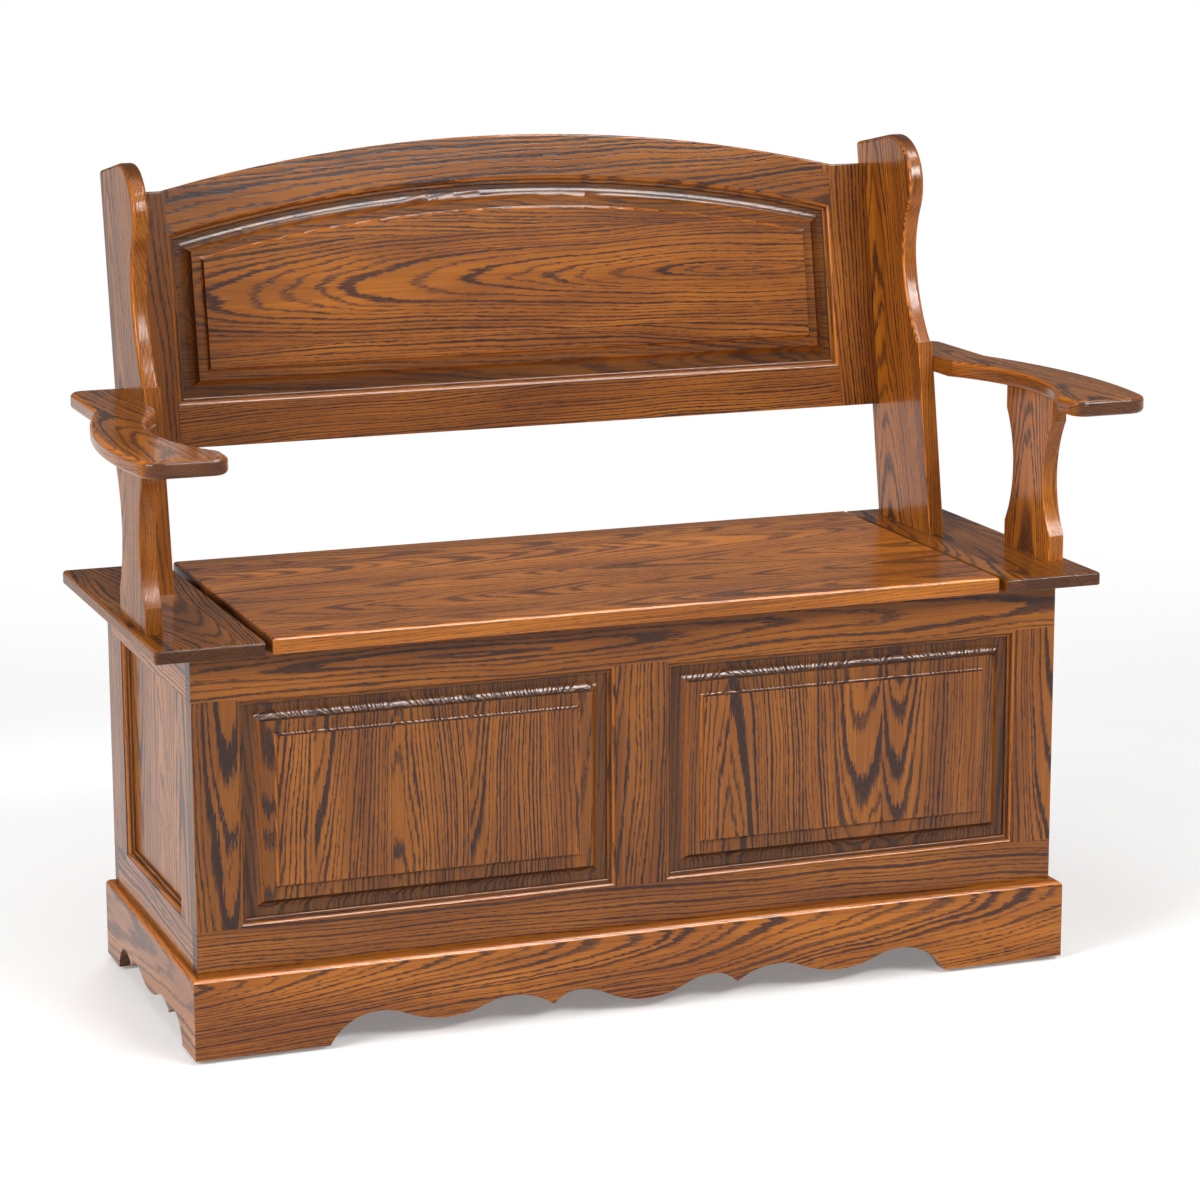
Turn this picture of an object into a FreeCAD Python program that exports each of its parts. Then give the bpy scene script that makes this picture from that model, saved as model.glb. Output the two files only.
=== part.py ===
import FreeCAD, Part
import math
import os
import Sketcher

# Settle bench: a framed and panelled chest on a scalloped plinth, with a hinged seat
# lid between two fixed seat ends, and a reclined panelled back between two scrolled
# posts that also carry the arms. Millimetres, +Z up, the front faces -Y. The origin
# is on the floor, under the middle of the bench's outer box.

SIZES = [
    ("chest_width", 1066, "chest, left face to right face"),
    ("chest_depth", 399, "chest, front face to back face"),
    ("carcass_height", 367.5, "chest frames, plinth to rim"),
    ("stock", 20, "thickness of frame members, posts, supports and arms"),
    ("front_stile_width", 60, "outer stiles of the front, with the moulded edge"),
    ("centre_stile_width", 80, "middle stile of the front"),
    ("side_stile_width", 56, "stiles of the side frames"),
    ("rear_stile_width", 60, "stiles of the chest's back frame"),
    ("top_rail_width", 62, "top rails of the chest"),
    ("bottom_rail_width", 58.5, "bottom rails of the chest"),
    ("mould_width", 8.8, "moulded inner edge of a frame, across"),
    ("mould_step", 0.8, "square step where the moulding starts"),
    ("mould_round", 4.6, "quarter round of the moulding"),
    ("mould_fillet", 0.8, "square step between the quarter round and the lip"),
    ("mould_lip", 1.6, "rounded lip over the panel"),
    ("slot_set", 9.5, "frame face to the panel slot"),
    ("slot_width", 6.4, "panel slot, face to face"),
    ("slot_depth", 10, "panel slot, into the member"),
    ("panel_play", 0.2, "panel edge in its slot, each face"),
    ("panel_room", 1, "panel edge to the bottom of its slot"),
    ("panel_proud", 3.1, "raised field in front of the frame's face"),
    ("panel_band_set", 1.9, "flat band round the field, behind the frame's face"),
    ("cove_start", 6, "where the cove starts, from the frame's edge"),
    ("cove_end", 19.6, "where the cove meets the band, from the frame's edge"),
    ("field_hollow", 4.4, "small hollow between the band and the field"),
    ("front_margin", 37, "frame's edge to the raised field, chest panels"),
    ("back_margin", 33, "frame's edge to the raised field, back panel"),
    ("floor_board", 9, "thickness of the chest's floor board"),
    ("floor_room", 0.5, "floor board to the frames round it"),
    ("skirt_height", 94.5, "plinth boards"),
    ("skirt_thick", 20, "plinth boards"),
    ("skirt_front_reveal", 18, "plinth in front of the chest"),
    ("skirt_side_reveal", 9.5, "plinth beside the chest"),
    ("skirt_back_reveal", 12, "plinth behind the chest"),
    ("skirt_round", 7, "rounded top edge of the plinth"),
    ("wave_share", 0.4, "share of each wave that its hollow takes"),
    ("front_foot", 385, "middle of the front to the inner end of its feet"),
    ("front_peak_outer", 327, "middle of the front to the outer hollow"),
    ("front_lobe_outer", 246, "middle of the front to the outer lobe"),
    ("front_peak_middle", 167, "middle of the front to the middle hollow"),
    ("front_cusp", 115, "middle of the front to the cusp"),
    ("front_peak_inner", 84, "middle of the front to the inner hollow"),
    ("outer_peak_height", 34.5, "floor side to the outer hollow"),
    ("outer_lobe_height", 17, "floor side to the outer lobe"),
    ("middle_peak_height", 33.5, "floor side to the middle hollow"),
    ("cusp_height", 17, "floor side to the cusp"),
    ("inner_peak_height", 31, "floor side to the inner hollow"),
    ("middle_lobe_height", 10, "floor side to the middle lobe"),
    ("side_foot", 154, "middle of the side to the inner end of its feet"),
    ("side_cusp", 92, "middle of the side to the cusp"),
    ("side_peak", 66, "middle of the side to the hollow"),
    ("side_cusp_height", 20, "floor side to the side's cusp"),
    ("side_peak_height", 31, "floor side to the side's hollow"),
    ("side_lobe_height", 17, "floor side to the side's middle lobe"),
    ("side_foot_radius", 36, "hollow next to the side's feet"),
    ("ledger_width", 22, "ledger strips inside the plinth, across"),
    ("ledger_height", 25, "ledger strips inside the plinth"),
    ("block_leg", 48, "corner blocks, along each plinth board"),
    ("block_height", 60, "corner blocks"),
    ("glide_radius", 13, "floor glides"),
    ("glide_height", 5, "floor glides"),
    ("glide_inset", 17, "glide's middle from the plinth's inner faces"),
    ("seat_end_thick", 16, "seat ends"),
    ("seat_end_inner", 454, "middle of the bench to a seat end's inner edge"),
    ("seat_end_overhang", 45.5, "seat end beyond the chest's side"),
    ("seat_front_overhang", 29, "seat end in front of the chest"),
    ("seat_back_overhang", 35, "seat end behind the chest"),
    ("seat_edge_round", 4, "eased edges of the seat ends"),
    ("cleat_width", 20, "seat cleats, across"),
    ("cleat_height", 22, "seat cleats"),
    ("lid_width", 891, "lid"),
    ("lid_front_overhang", 26.5, "lid in front of the chest"),
    ("lid_back_overhang", 18, "lid behind the chest"),
    ("lid_thick", 19, "lid"),
    ("lid_gap", 0.3, "closed lid above the rim"),
    ("lid_round", 4, "eased front and side edges of the lid"),
    ("recline", 10, "back and posts, degrees from upright"),
    ("post_inner", 485.5, "middle of the bench to a post's inner face"),
    ("post_back", 401, "chest's front face to the heel of a post"),
    ("post_length", 480, "back edge of a post"),
    ("post_depth", 148, "post below the shoulder"),
    ("post_shoulder", 215, "heel to the shoulder, along the back edge"),
    ("post_ledge", 2.5, "small step at the shoulder"),
    ("post_waist_depth", 118.5, "post at its waist"),
    ("post_waist", 315, "heel to the waist, along the back edge"),
    ("post_nose_depth", 152, "post at its nose"),
    ("post_nose_radius", 61, "round top of the nose"),
    ("post_turn_share", 0.35, "share of nose to waist that the nose takes"),
    ("post_round", 5, "rounded edges of the scroll"),
    ("rest_bottom", 142, "heel to the lower edge of the back frame"),
    ("rest_stile_top", 450.5, "heel to the top of the back frame's stiles"),
    ("rest_rise", 52.5, "crown of the back frame above its stiles"),
    ("rest_arch_run", 13.8, "how far the arch runs on over each stile"),
    ("rest_stile_width", 60.5, "stiles of the back frame"),
    ("rest_rail_width", 60, "rails of the back frame"),
    ("rest_round", 2, "eased top edge of the back frame"),
    ("arm_top", 236.5, "rim of the chest to the top of an arm"),
    ("arm_back", 412, "chest's front face to the back end of an arm"),
    ("arm_tail_width", 64, "arm beside the post"),
    ("arm_notch", 268, "chest's front face to the start of the arm's swell"),
    ("arm_swell", 106, "post's outer face to the widest point of the arm"),
    ("arm_swell_at", 35, "chest's front face to the widest point"),
    ("arm_front", 95, "arm in front of the chest"),
    ("arm_hollow_radius", 280, "hollow inner edge of the arm"),
    ("arm_hollow_at", 95, "chest's front face to the hollow's middle"),
    ("arm_hollow_start", 235, "chest's front face to where the hollow starts"),
    ("arm_tip_inner", 48, "arm's inner front corner, ahead of the chest's front"),
    ("arm_inner_round", 20, "inner front corner of the arm"),
    ("arm_outer_round", 26, "outer front corner of the arm"),
    ("arm_tail_round", 18, "outer back corner of the arm"),
    ("arm_edge_round", 6, "rounded edges of the arm"),
    ("support_inner", 549, "middle of the bench to an arm support's inner face"),
    ("support_front", 51, "chest's front face to the support's front edge"),
    ("support_width", 120, "arm support, at its square ends"),
    ("support_waist", 80, "arm support, at its waist"),
    ("support_block", 30, "square ends of the arm support"),
    ("dowel_radius", 4, "dowels"),
    ("dowel_length", 40, "dowels"),
    ("dowel_in_post", 14.5, "dowel in a post, arm or seat end"),
    ("post_screw_length", 60, "screws up into the posts"),
    ("screw_radius", 2.2, "shank of the large screws"),
    ("screw_head_radius", 4.4, "head of the large screws"),
    ("cleat_screw_length", 34, "screws up into the seat ends"),
    ("cleat_screw_inset", 80, "screws of the seat ends, from the chest's front and back"),
    ("hinge_at", 280, "middle of the bench to a hinge's middle"),
    ("hinge_length", 76, "hinge"),
    ("leaf_thick", 1.6, "hinge leaves"),
    ("leaf_drop", 28, "fixed leaf, rim to its lower edge"),
    ("leaf_reach", 16, "moving leaf, chest's back face to its free edge"),
    ("barrel_radius", 3.2, "hinge knuckles"),
    ("pin_radius", 1.5, "hinge pin"),
    ("pin_play", 0.05, "hinge pin in its knuckles, all round"),
    ("knuckle_gap", 0.3, "between neighbouring knuckles"),
    ("barrel_set", 0.3, "barrel off the chest's back face and below the lid"),
    ("leaf_screw_length", 13, "hinge screws"),
    ("leaf_screw_radius", 1.4, "shank of the hinge screws"),
    ("leaf_screw_head", 2.8, "head of the hinge screws"),
    ("leaf_screw_pitch", 25, "between hinge screws"),
    ("leaf_screw_rise", 8.4, "hinge screws above the fixed leaf's lower edge"),
    ("arris", 1.2, "eased corners of the chest and the arm supports"),
    ("post_arris", 2, "eased front edges of a post, below the shoulder"),
    ("seat_corner", 5, "rounded corners of the seat ends, seen from above"),
    ("seat_under_round", 2.5, "eased lower edges of the seat ends and the lid"),
    ("lid_corner", 3, "rounded corners of the lid, seen from above"),
    ("bite", 1, "how far a cutter starts outside the wood"),
]


TOUCH = 0.01  # how close two places are that count as one, and the least a cutter takes
KNUCKLES = 5  # of a hinge: even numbers on the chest's leaf, odd ones on the lid's


class Size:
    """A length that follows the sheet: its formula, and what that comes to now."""

    def __init__(self, formula, amount):
        self.formula = formula
        self.amount = amount

    def __add__(self, other):
        return Size(f"({self.formula} + {formula(other)})", self.amount + amount(other))

    def __sub__(self, other):
        return Size(f"({self.formula} - {formula(other)})", self.amount - amount(other))

    def __rsub__(self, other):
        return Size(f"({formula(other)} - {self.formula})", amount(other) - self.amount)

    def __mul__(self, other):
        return Size(f"({self.formula} * {formula(other)})", self.amount * amount(other))

    def __rmul__(self, other):
        return Size(f"({formula(other)} * {self.formula})", amount(other) * self.amount)

    def __truediv__(self, other):
        return Size(f"({self.formula} / {formula(other)})", self.amount / amount(other))

    def __neg__(self):
        return Size(f"(-{self.formula})", -self.amount)


def formula(value):
    return value.formula if isinstance(value, Size) else repr(float(value))


def amount(value):
    return value.amount if isinstance(value, Size) else float(value)


def root(value):
    return Size(f"sqrt({formula(value)})", math.sqrt(amount(value)))


def sine(degrees):
    return Size(f"sin({degrees.formula})", math.sin(math.radians(degrees.amount)))


def cosine(degrees):
    return Size(f"cos({degrees.formula})", math.cos(math.radians(degrees.amount)))


def bind(thing, name, value):
    """Ties one property of an object to the sheet."""
    thing.setExpression(name, formula(value))


doc = FreeCAD.newDocument("settle_bench")
sheet = doc.addObject("Spreadsheet::Sheet", "Dims")


class Dims:
    """The driving dimensions, by name."""


D = Dims()
for line, (name, value, words) in enumerate(SIZES, 1):
    sheet.set(f"A{line}", words)
    sheet.set(f"B{line}", str(value))
    sheet.setAlias(f"B{line}", name)
    setattr(D, name, Size(f"Dims.{name}", float(value)))
doc.recompute()

# Places that several pieces share. Heights are above the plinth's lower edge and
# depths behind the chest's front face, until a piece is put in the bench's frame.
half = D.chest_width / 2
rim = D.skirt_height + D.carcass_height
seat_level = rim + D.seat_end_thick
inner_side = half - D.stock
rear_inner = D.chest_depth - D.stock
opening_top = rim - D.top_rail_width
opening_bottom = D.skirt_height + D.bottom_rail_width
post_outer = D.post_inner + D.stock
arm_upper = rim + D.arm_top
arm_lower = arm_upper - D.stock
sin_recline = sine(D.recline)
cos_recline = cosine(D.recline)
rest_inner = D.post_inner - D.rest_stile_width
rest_crown = D.rest_stile_top + D.rest_rise
arch_half = rest_inner + D.rest_arch_run
rest_arch = (arch_half * arch_half + D.rest_rise * D.rest_rise) / (D.rest_rise * 2)
bench_back = D.post_back + (rest_crown - D.rest_round) * sin_recline + D.rest_round * (1 - cos_recline)
middle = (bench_back - D.arm_front) / 2
zero = Size("0", 0.0)
hinge_y = D.chest_depth + D.barrel_set + D.barrel_radius
hinge_z = rim + D.lid_gap - D.barrel_set - D.barrel_radius

# Both rails of a chest frame: lower face, upper face, inner edge, way into the wood.
RAILS = {
    "top": (opening_top, rim, opening_top, 1),
    "bottom": (D.skirt_height, opening_bottom, opening_bottom, -1),
}
stile_foot = opening_bottom - D.slot_depth
stile_head = opening_top + D.slot_depth
slot_reach = D.slot_depth - D.panel_room

PLANES = {"XY": ("XY_Plane", 1), "XZ": ("XZ_Plane", -1), "YZ": ("YZ_Plane", 1)}
AXES = {"X": "YZ", "Y": "XZ", "Z": "XY"}
nodes = []


def keep(thing):
    """Counts an object as one of the bench's own pieces."""
    nodes.append(thing)
    return thing


def new_body(label, leaning=False):
    """An empty body, standing in the bench's frame or leaning with the back."""
    body = doc.addObject("PartDesign::Body", label)
    body.Label = label
    if leaning:
        body.Placement = FreeCAD.Placement(FreeCAD.Vector(), FreeCAD.Rotation(FreeCAD.Vector(1, 0, 0), -1))
        bind(body, "Placement.Base.y", D.post_back - middle)
        bind(body, "Placement.Base.z", D.glide_height + seat_level)
        bind(body, "Placement.Rotation.Angle", -D.recline)
    else:
        bind(body, "Placement.Base.y", -middle)
        bind(body, "Placement.Base.z", D.glide_height)
    return body


def block(label, low, high, leaning=False):
    """A body that starts as a squared board between two corners."""
    body = new_body(label, leaning)
    box = body.newObject("PartDesign::AdditiveBox", f"{label}_board")
    for side, start, end in zip(("Length", "Width", "Height"), low, high):
        bind(box, side, end - start)
    for axis, start in zip("xyz", low):
        bind(box, f"Placement.Base.{axis}", start)
    doc.recompute()
    return body


def plane_of(body, name):
    role = PLANES[name][0]
    return [item for item in body.Origin.OriginFeatures if item.Role == role][0]


def arc_between(start, end, radius, near):
    """The arc of this radius from start to end whose middle lies nearest a point."""
    chord = end - start
    middle_point = (start + end) * 0.5
    across = FreeCAD.Vector(-chord.y, chord.x, 0)
    across.normalize()
    rise = math.sqrt(max(radius * radius - chord.Length ** 2 / 4, 0))
    centres = [middle_point + across * rise, middle_point - across * rise]

    def miss(centre):
        out = middle_point - centre
        out.normalize()
        return (centre + out * radius - near).Length

    centre = min(centres, key=miss)
    a, b = start - centre, end - centre
    forward = a.x * b.y - a.y * b.x > 0
    first, last = (a, b) if forward else (b, a)
    circle = Part.Circle(centre, FreeCAD.Vector(0, 0, 1), radius)
    arc = Part.ArcOfCircle(circle, math.atan2(first.y, first.x), math.atan2(last.y, last.x))
    return arc, forward


def sketch_on(body, name, plane, offset, points, arcs, axis_line=None):
    """A closed outline. Arcs are given by the edge they stand on, as radius and a near point."""
    sketch = body.newObject("Sketcher::SketchObject", name)
    sketch.AttachmentSupport = (plane_of(body, plane), [""])
    sketch.MapMode = "FlatFace"
    bind(sketch, "AttachmentOffset.Base.z", offset * PLANES[plane][1])
    spots = [FreeCAD.Vector(amount(x), amount(y), 0) for x, y in points]
    ends = []
    for index, start in enumerate(spots):
        end = spots[(index + 1) % len(spots)]
        forward = True
        if index in arcs:
            radius, near = arcs[index]
            near_point = FreeCAD.Vector(amount(near[0]), amount(near[1]), 0)
            edge, forward = arc_between(start, end, amount(radius), near_point)
        else:
            edge = Part.LineSegment(start, end)
        sketch.addGeometry(edge)
        ends.append((1, 2) if forward else (2, 1))
    for index in range(len(spots)):
        after = (index + 1) % len(spots)
        sketch.addConstraint(
            Sketcher.Constraint("Coincident", index, ends[index][1], after, ends[after][0])
        )
    for index, (x, y) in enumerate(points):
        for kind, value in (("DistanceX", x), ("DistanceY", y)):
            rule = sketch.addConstraint(
                Sketcher.Constraint(kind, -1, 1, index, ends[index][0], amount(value))
            )
            bind(sketch, f"Constraints[{rule}]", value)
    for index, (radius, near) in arcs.items():
        rule = sketch.addConstraint(Sketcher.Constraint("Radius", index, amount(radius)))
        bind(sketch, f"Constraints[{rule}]", radius)
    if axis_line is not None:
        height = amount(axis_line)
        line = Part.LineSegment(FreeCAD.Vector(0, height, 0), FreeCAD.Vector(amount(D.stock), height, 0))
        number = sketch.addGeometry(line, True)
        sketch.addConstraint(Sketcher.Constraint("Horizontal", number))
        rules = (("DistanceX", 1, zero), ("DistanceX", 2, D.stock), ("DistanceY", 1, axis_line))
        for kind, end, value in rules:
            rule = sketch.addConstraint(Sketcher.Constraint(kind, -1, 1, number, end, amount(value)))
            bind(sketch, f"Constraints[{rule}]", value)
    return sketch


def pad(body, name, plane, low, high, points, arcs=None):
    """Adds an outline's solid between two levels of the plane's normal."""
    start = high if PLANES[plane][1] < 0 else low
    feature = body.newObject("PartDesign::Pad", name)
    feature.Profile = sketch_on(body, f"{name}_outline", plane, start, points, arcs or {})
    bind(feature, "Length", high - low)
    doc.recompute()
    return feature


def must_cut(body, before, name):
    if not body.Shape.Volume < before - TOUCH:
        raise RuntimeError(f"{name} took nothing off")


def carve(body, name, plane, low, high, points, arcs=None):
    """Cuts an outline away between two levels of the plane's normal."""
    before = body.Shape.Volume
    start = low if PLANES[plane][1] < 0 else high
    feature = body.newObject("PartDesign::Pocket", name)
    feature.Profile = sketch_on(body, f"{name}_outline", plane, start, points, arcs or {})
    bind(feature, "Length", high - low)
    doc.recompute()
    must_cut(body, before, name)
    return feature


def round_edges(body, name, radius, wanted):
    """Rounds the edges that the test picks."""
    tip = body.Tip
    edges = [f"Edge{number}" for number, edge in enumerate(tip.Shape.Edges, 1) if wanted(edge)]
    if not edges:
        raise RuntimeError(f"{name} found no edge")
    feature = body.newObject("PartDesign::Fillet", name)
    feature.Base = (tip, edges)
    bind(feature, "Radius", radius)
    doc.recompute()
    return feature


def same(value, target):
    return abs(value - amount(target)) < TOUCH


def lies_at(edge, axis, target):
    """True for an edge that lies wholly at one level of an axis."""
    box = edge.BoundBox
    low, high = getattr(box, f"{axis}Min"), getattr(box, f"{axis}Max")
    return same(low, target) and same(high, target)


# The profiles are drawn as (distance into the wood from its inner edge, distance
# behind its face).


def moulding():
    """What the cutter takes off a frame's inner edge: a quarter round, and a rounded lip."""
    round_end = D.mould_width - D.mould_round
    round_deep = D.mould_step + D.mould_round
    lip_set = round_deep + D.mould_fillet
    points = [
        (-D.bite, -D.bite),
        (D.mould_width, -D.bite),
        (D.mould_width, D.mould_step),
        (round_end, round_deep),
        (round_end, lip_set),
        (D.mould_lip, lip_set),
        (zero, lip_set + D.mould_lip),
        (-D.bite, lip_set + D.mould_lip),
    ]
    return points, {2: (D.mould_round, (round_end, D.mould_step)), 5: (D.mould_lip, (zero, lip_set))}


def slot():
    """The slot that holds a panel."""
    back = D.slot_set + D.slot_width
    return [(-D.bite, D.slot_set), (D.slot_depth, D.slot_set), (D.slot_depth, back), (-D.bite, back)], {}


def raising(margin):
    """What the cutter takes off a panel's face, from its edge to its raised field."""
    edge = -D.slot_depth - D.bite
    out = -D.panel_proud - D.bite
    tongue = D.slot_set + D.panel_play
    hollow = D.panel_band_set - D.field_hollow
    points = [
        (edge, out),
        (margin, out),
        (margin, hollow),
        (margin - D.field_hollow, D.panel_band_set),
        (D.cove_end, D.panel_band_set),
        (D.cove_start, tongue),
        (edge, tongue),
    ]
    cove = rise_radius((D.cove_start, tongue), (D.cove_end, D.panel_band_set))
    arcs = {
        2: (D.field_hollow, (margin, D.panel_band_set)),
        4: (cove, (D.cove_end, tongue)),
    }
    return points, arcs


def run_profile(body, name, run, low, high, edge, face, profile):
    """Cuts a profile along a straight member.

    run is the axis along the member. edge and face are (axis, place, way in).
    """
    plane = AXES[run]
    points, arcs = profile

    def spot(pair):
        across, deep = pair
        place = {edge[0]: edge[1] + across * edge[2], face[0]: face[1] + deep * face[2]}
        return place[plane[0]], place[plane[1]]

    mapped = {index: (radius, spot(near_point)) for index, (radius, near_point) in arcs.items()}
    return carve(body, name, plane, low, high, [spot(point) for point in points], mapped)


def frame_edge(body, run, low, high, edge, face, moulded=True):
    """Works the inner edge of a frame member: its slot, and the moulding where it shows."""
    profiles = {"slot": slot()}
    if moulded:
        profiles["mould"] = moulding()
    for name, profile in profiles.items():
        label = f"{body.Label}_{name}_{len(body.Group)}"
        run_profile(body, label, run, low - D.bite, high + D.bite, edge, face, profile)


def turn_profile(body, name, centre, edge_radius, way_in, face, profile):
    """Cuts a profile round an arch whose middle is at this height."""
    points, arcs = profile

    def spot(pair):
        across, deep = pair
        return face + deep, centre + edge_radius + across * way_in

    mapped = {index: (radius, spot(near_point)) for index, (radius, near_point) in arcs.items()}
    before = body.Shape.Volume
    outline = sketch_on(body, f"{name}_outline", "YZ", zero, [spot(p) for p in points], mapped, centre)
    feature = body.newObject("PartDesign::Groove", name)
    feature.Profile = outline
    feature.ReferenceAxis = (outline, ["Axis0"])
    feature.Angle = 360
    doc.recompute()
    must_cut(body, before, name)
    return feature


def cut(label, base, *tools):
    """A piece with its neighbours' shapes taken out of it."""
    tool = tools[0]
    if len(tools) > 1:
        tool = doc.addObject("Part::Compound", f"{label}_tools")
        tool.Links = list(tools)
    result = doc.addObject("Part::Cut", label)
    result.Label = label
    result.Base = base
    result.Tool = tool
    doc.recompute()
    return result


def group(label, things):
    """Like pieces that share one name, each a solid of its own."""
    result = doc.addObject("Part::Compound", label)
    result.Label = label
    result.Links = things
    doc.recompute()
    return keep(result)


def cylinder(label, at, way, radius, length, kind="Part::Cylinder", top=None):
    """A round solid from a point of the bench along +X, -X, +Y, -Y, +Z or -Z."""
    turns = {
        "+X": ((0, 1, 0), 90), "-X": ((0, 1, 0), -90), "+Y": ((1, 0, 0), -90),
        "-Y": ((1, 0, 0), 90), "+Z": ((0, 0, 1), 0), "-Z": ((1, 0, 0), 180),
    }
    axis, angle = turns[way]
    solid = doc.addObject(kind, label)
    if kind == "Part::Cone":
        bind(solid, "Radius1", radius)
        bind(solid, "Radius2", top)
    else:
        bind(solid, "Radius", radius)
    bind(solid, "Height", length)
    solid.Placement = FreeCAD.Placement(FreeCAD.Vector(), FreeCAD.Rotation(FreeCAD.Vector(*axis), angle))
    x, y, z = at
    bind(solid, "Placement.Base.x", x)
    bind(solid, "Placement.Base.y", y - middle)
    bind(solid, "Placement.Base.z", z + D.glide_height)
    return solid


def screw(label, at, way, length, radius, head):
    """A countersunk wood screw, from the top of its head."""
    shank = cylinder(f"{label}_shank", at, way, radius, length)
    taper = cylinder(f"{label}_head", at, way, head, head - radius, "Part::Cone", radius)
    whole = doc.addObject("Part::Fuse", label)
    whole.Base = taper
    whole.Tool = shank
    return whole


def leaning_point(depth, along):
    """A point of the reclined back, from its distance ahead of and along the back edge."""
    y = D.post_back - depth * cos_recline + along * sin_recline
    z = seat_level + depth * sin_recline + along * cos_recline
    return y, z


SIDES = (("left", -1), ("right", 1))


def span(side, near_middle, far_middle):
    """Two distances from the middle, as low and high on the given side."""
    if side > 0:
        return near_middle, far_middle
    return -far_middle, -near_middle


def ease_corners(body, face):
    """Eases the upright corners of the chest that a board takes part in."""
    round_edges(
        body, f"{body.Label}_arris", D.arris,
        lambda edge: lies_at(edge, "Y", face) and (lies_at(edge, "X", half) or lies_at(edge, "X", -half)),
    )


def make_front():
    """Front frame: full-width rails, three stiles between them, two raised panels."""
    face = ("Y", zero, 1)
    rails = []
    for which, (low, high, edge, way) in RAILS.items():
        rail = block(f"front_{which}_rail", (-half, zero, low), (half, D.stock, high))
        ease_corners(rail, zero)
        frame_edge(rail, "X", -half, half, ("Z", edge, way), face)
        rails.append(keep(rail))
    stiles = {
        "left": (-half, D.front_stile_width - half, [(D.front_stile_width - half, -1)]),
        "centre": (-D.centre_stile_width / 2, D.centre_stile_width / 2,
                   [(-D.centre_stile_width / 2, 1), (D.centre_stile_width / 2, -1)]),
        "right": (half - D.front_stile_width, half, [(half - D.front_stile_width, 1)]),
    }
    for which, (low, high, edges) in stiles.items():
        label = f"front_stile_{which}"
        blank = block(f"{label}_blank", (low, zero, stile_foot), (high, D.stock, stile_head))
        if which != "centre":
            ease_corners(blank, zero)
        for edge, way in edges:
            frame_edge(blank, "Z", stile_foot, stile_head, ("X", edge, way), face)
        keep(cut(label, blank, *rails))
    for which, side in SIDES:
        low, high = span(side, D.centre_stile_width / 2, half - D.front_stile_width)
        raised_panel(f"front_panel_{which}", low, high, opening_bottom, opening_top, D.front_margin)


def raised_panel(label, low, high, bottom, top, margin):
    """A panel whose four edges are raised, held in slots on all sides."""
    panel = block(
        label,
        (low - slot_reach, -D.panel_proud, bottom - slot_reach),
        (high + slot_reach, D.slot_set + D.slot_width - D.panel_play, top + slot_reach),
    )
    face = ("Y", zero, 1)
    bars = (
        ("left", "Z", "X", low, 1), ("right", "Z", "X", high, -1),
        ("bottom", "X", "Z", bottom, 1), ("top", "X", "Z", top, -1),
    )
    beyond = D.slot_depth + D.bite
    for name, run, axis, edge, way in bars:
        start, end = (bottom, top) if run == "Z" else (low, high)
        run_profile(panel, f"{label}_{name}", run, start - beyond, end + beyond, (axis, edge, way), face,
                    raising(margin))
    return keep(panel)


def make_side(which, side):
    """Side frame between the front and back frames, with a flat panel."""
    face = ("X", half * side, -side)
    low_x, high_x = span(side, inner_side, half)
    start, end = D.stock, rear_inner
    rails = []
    for name, (low, high, edge, way) in RAILS.items():
        rail = block(f"{which}_side_{name}_rail", (low_x, start, low), (high_x, end, high))
        frame_edge(rail, "Y", start, end, ("Z", edge, way), face)
        rails.append(keep(rail))
    front_edge = start + D.side_stile_width
    back_edge = end - D.side_stile_width
    stiles = (("front", start, front_edge, front_edge, -1), ("back", back_edge, end, back_edge, 1))
    for name, low, high, edge, way in stiles:
        label = f"{which}_side_{name}_stile"
        blank = block(f"{label}_blank", (low_x, low, stile_foot), (high_x, high, stile_head))
        frame_edge(blank, "Z", stile_foot, stile_head, ("Y", edge, way), face)
        keep(cut(label, blank, *rails))
    outer = half - D.slot_set - D.panel_play
    inner = half - D.slot_set - D.slot_width + D.panel_play
    low_x, high_x = span(side, inner, outer)
    keep(block(
        f"{which}_side_panel",
        (low_x, front_edge - slot_reach, opening_bottom - slot_reach),
        (high_x, back_edge + slot_reach, opening_top + slot_reach),
    ))


def make_rear(hinge_screws):
    """Back frame of the chest, with one flat panel. Its top rail takes the hinge screws."""
    face = ("Y", D.chest_depth, -1)
    rails = []
    for name, (low, high, edge, way) in RAILS.items():
        label = "rear_top_rail_blank" if name == "top" else "rear_bottom_rail"
        rail = block(label, (-half, rear_inner, low), (half, D.chest_depth, high))
        ease_corners(rail, D.chest_depth)
        frame_edge(rail, "X", -half, half, ("Z", edge, way), face, moulded=False)
        rails.append(rail)
    keep(cut("rear_top_rail", rails[0], hinge_screws))
    keep(rails[1])
    stile_edge = half - D.rear_stile_width
    for which, side in SIDES:
        label = f"rear_stile_{which}"
        low, high = span(side, stile_edge, half)
        blank = block(f"{label}_blank", (low, rear_inner, stile_foot), (high, D.chest_depth, stile_head))
        ease_corners(blank, D.chest_depth)
        frame_edge(blank, "Z", stile_foot, stile_head, ("X", stile_edge * side, side), face, moulded=False)
        keep(cut(label, blank, *rails))
    panel_back = D.chest_depth - D.slot_set - D.panel_play
    panel_thick = D.slot_width - D.panel_play * 2
    keep(block(
        "rear_panel",
        (-stile_edge - slot_reach, panel_back - panel_thick, opening_bottom - slot_reach),
        (stile_edge + slot_reach, panel_back, opening_top + slot_reach),
    ))


def make_floor():
    """Floor board of the chest, laid on the plinth's ledgers."""
    keep(block(
        "chest_floor",
        (-inner_side + D.floor_room, D.stock + D.floor_room, D.skirt_height),
        (inner_side - D.floor_room, rear_inner - D.floor_room, D.skirt_height + D.floor_board),
    ))


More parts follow.
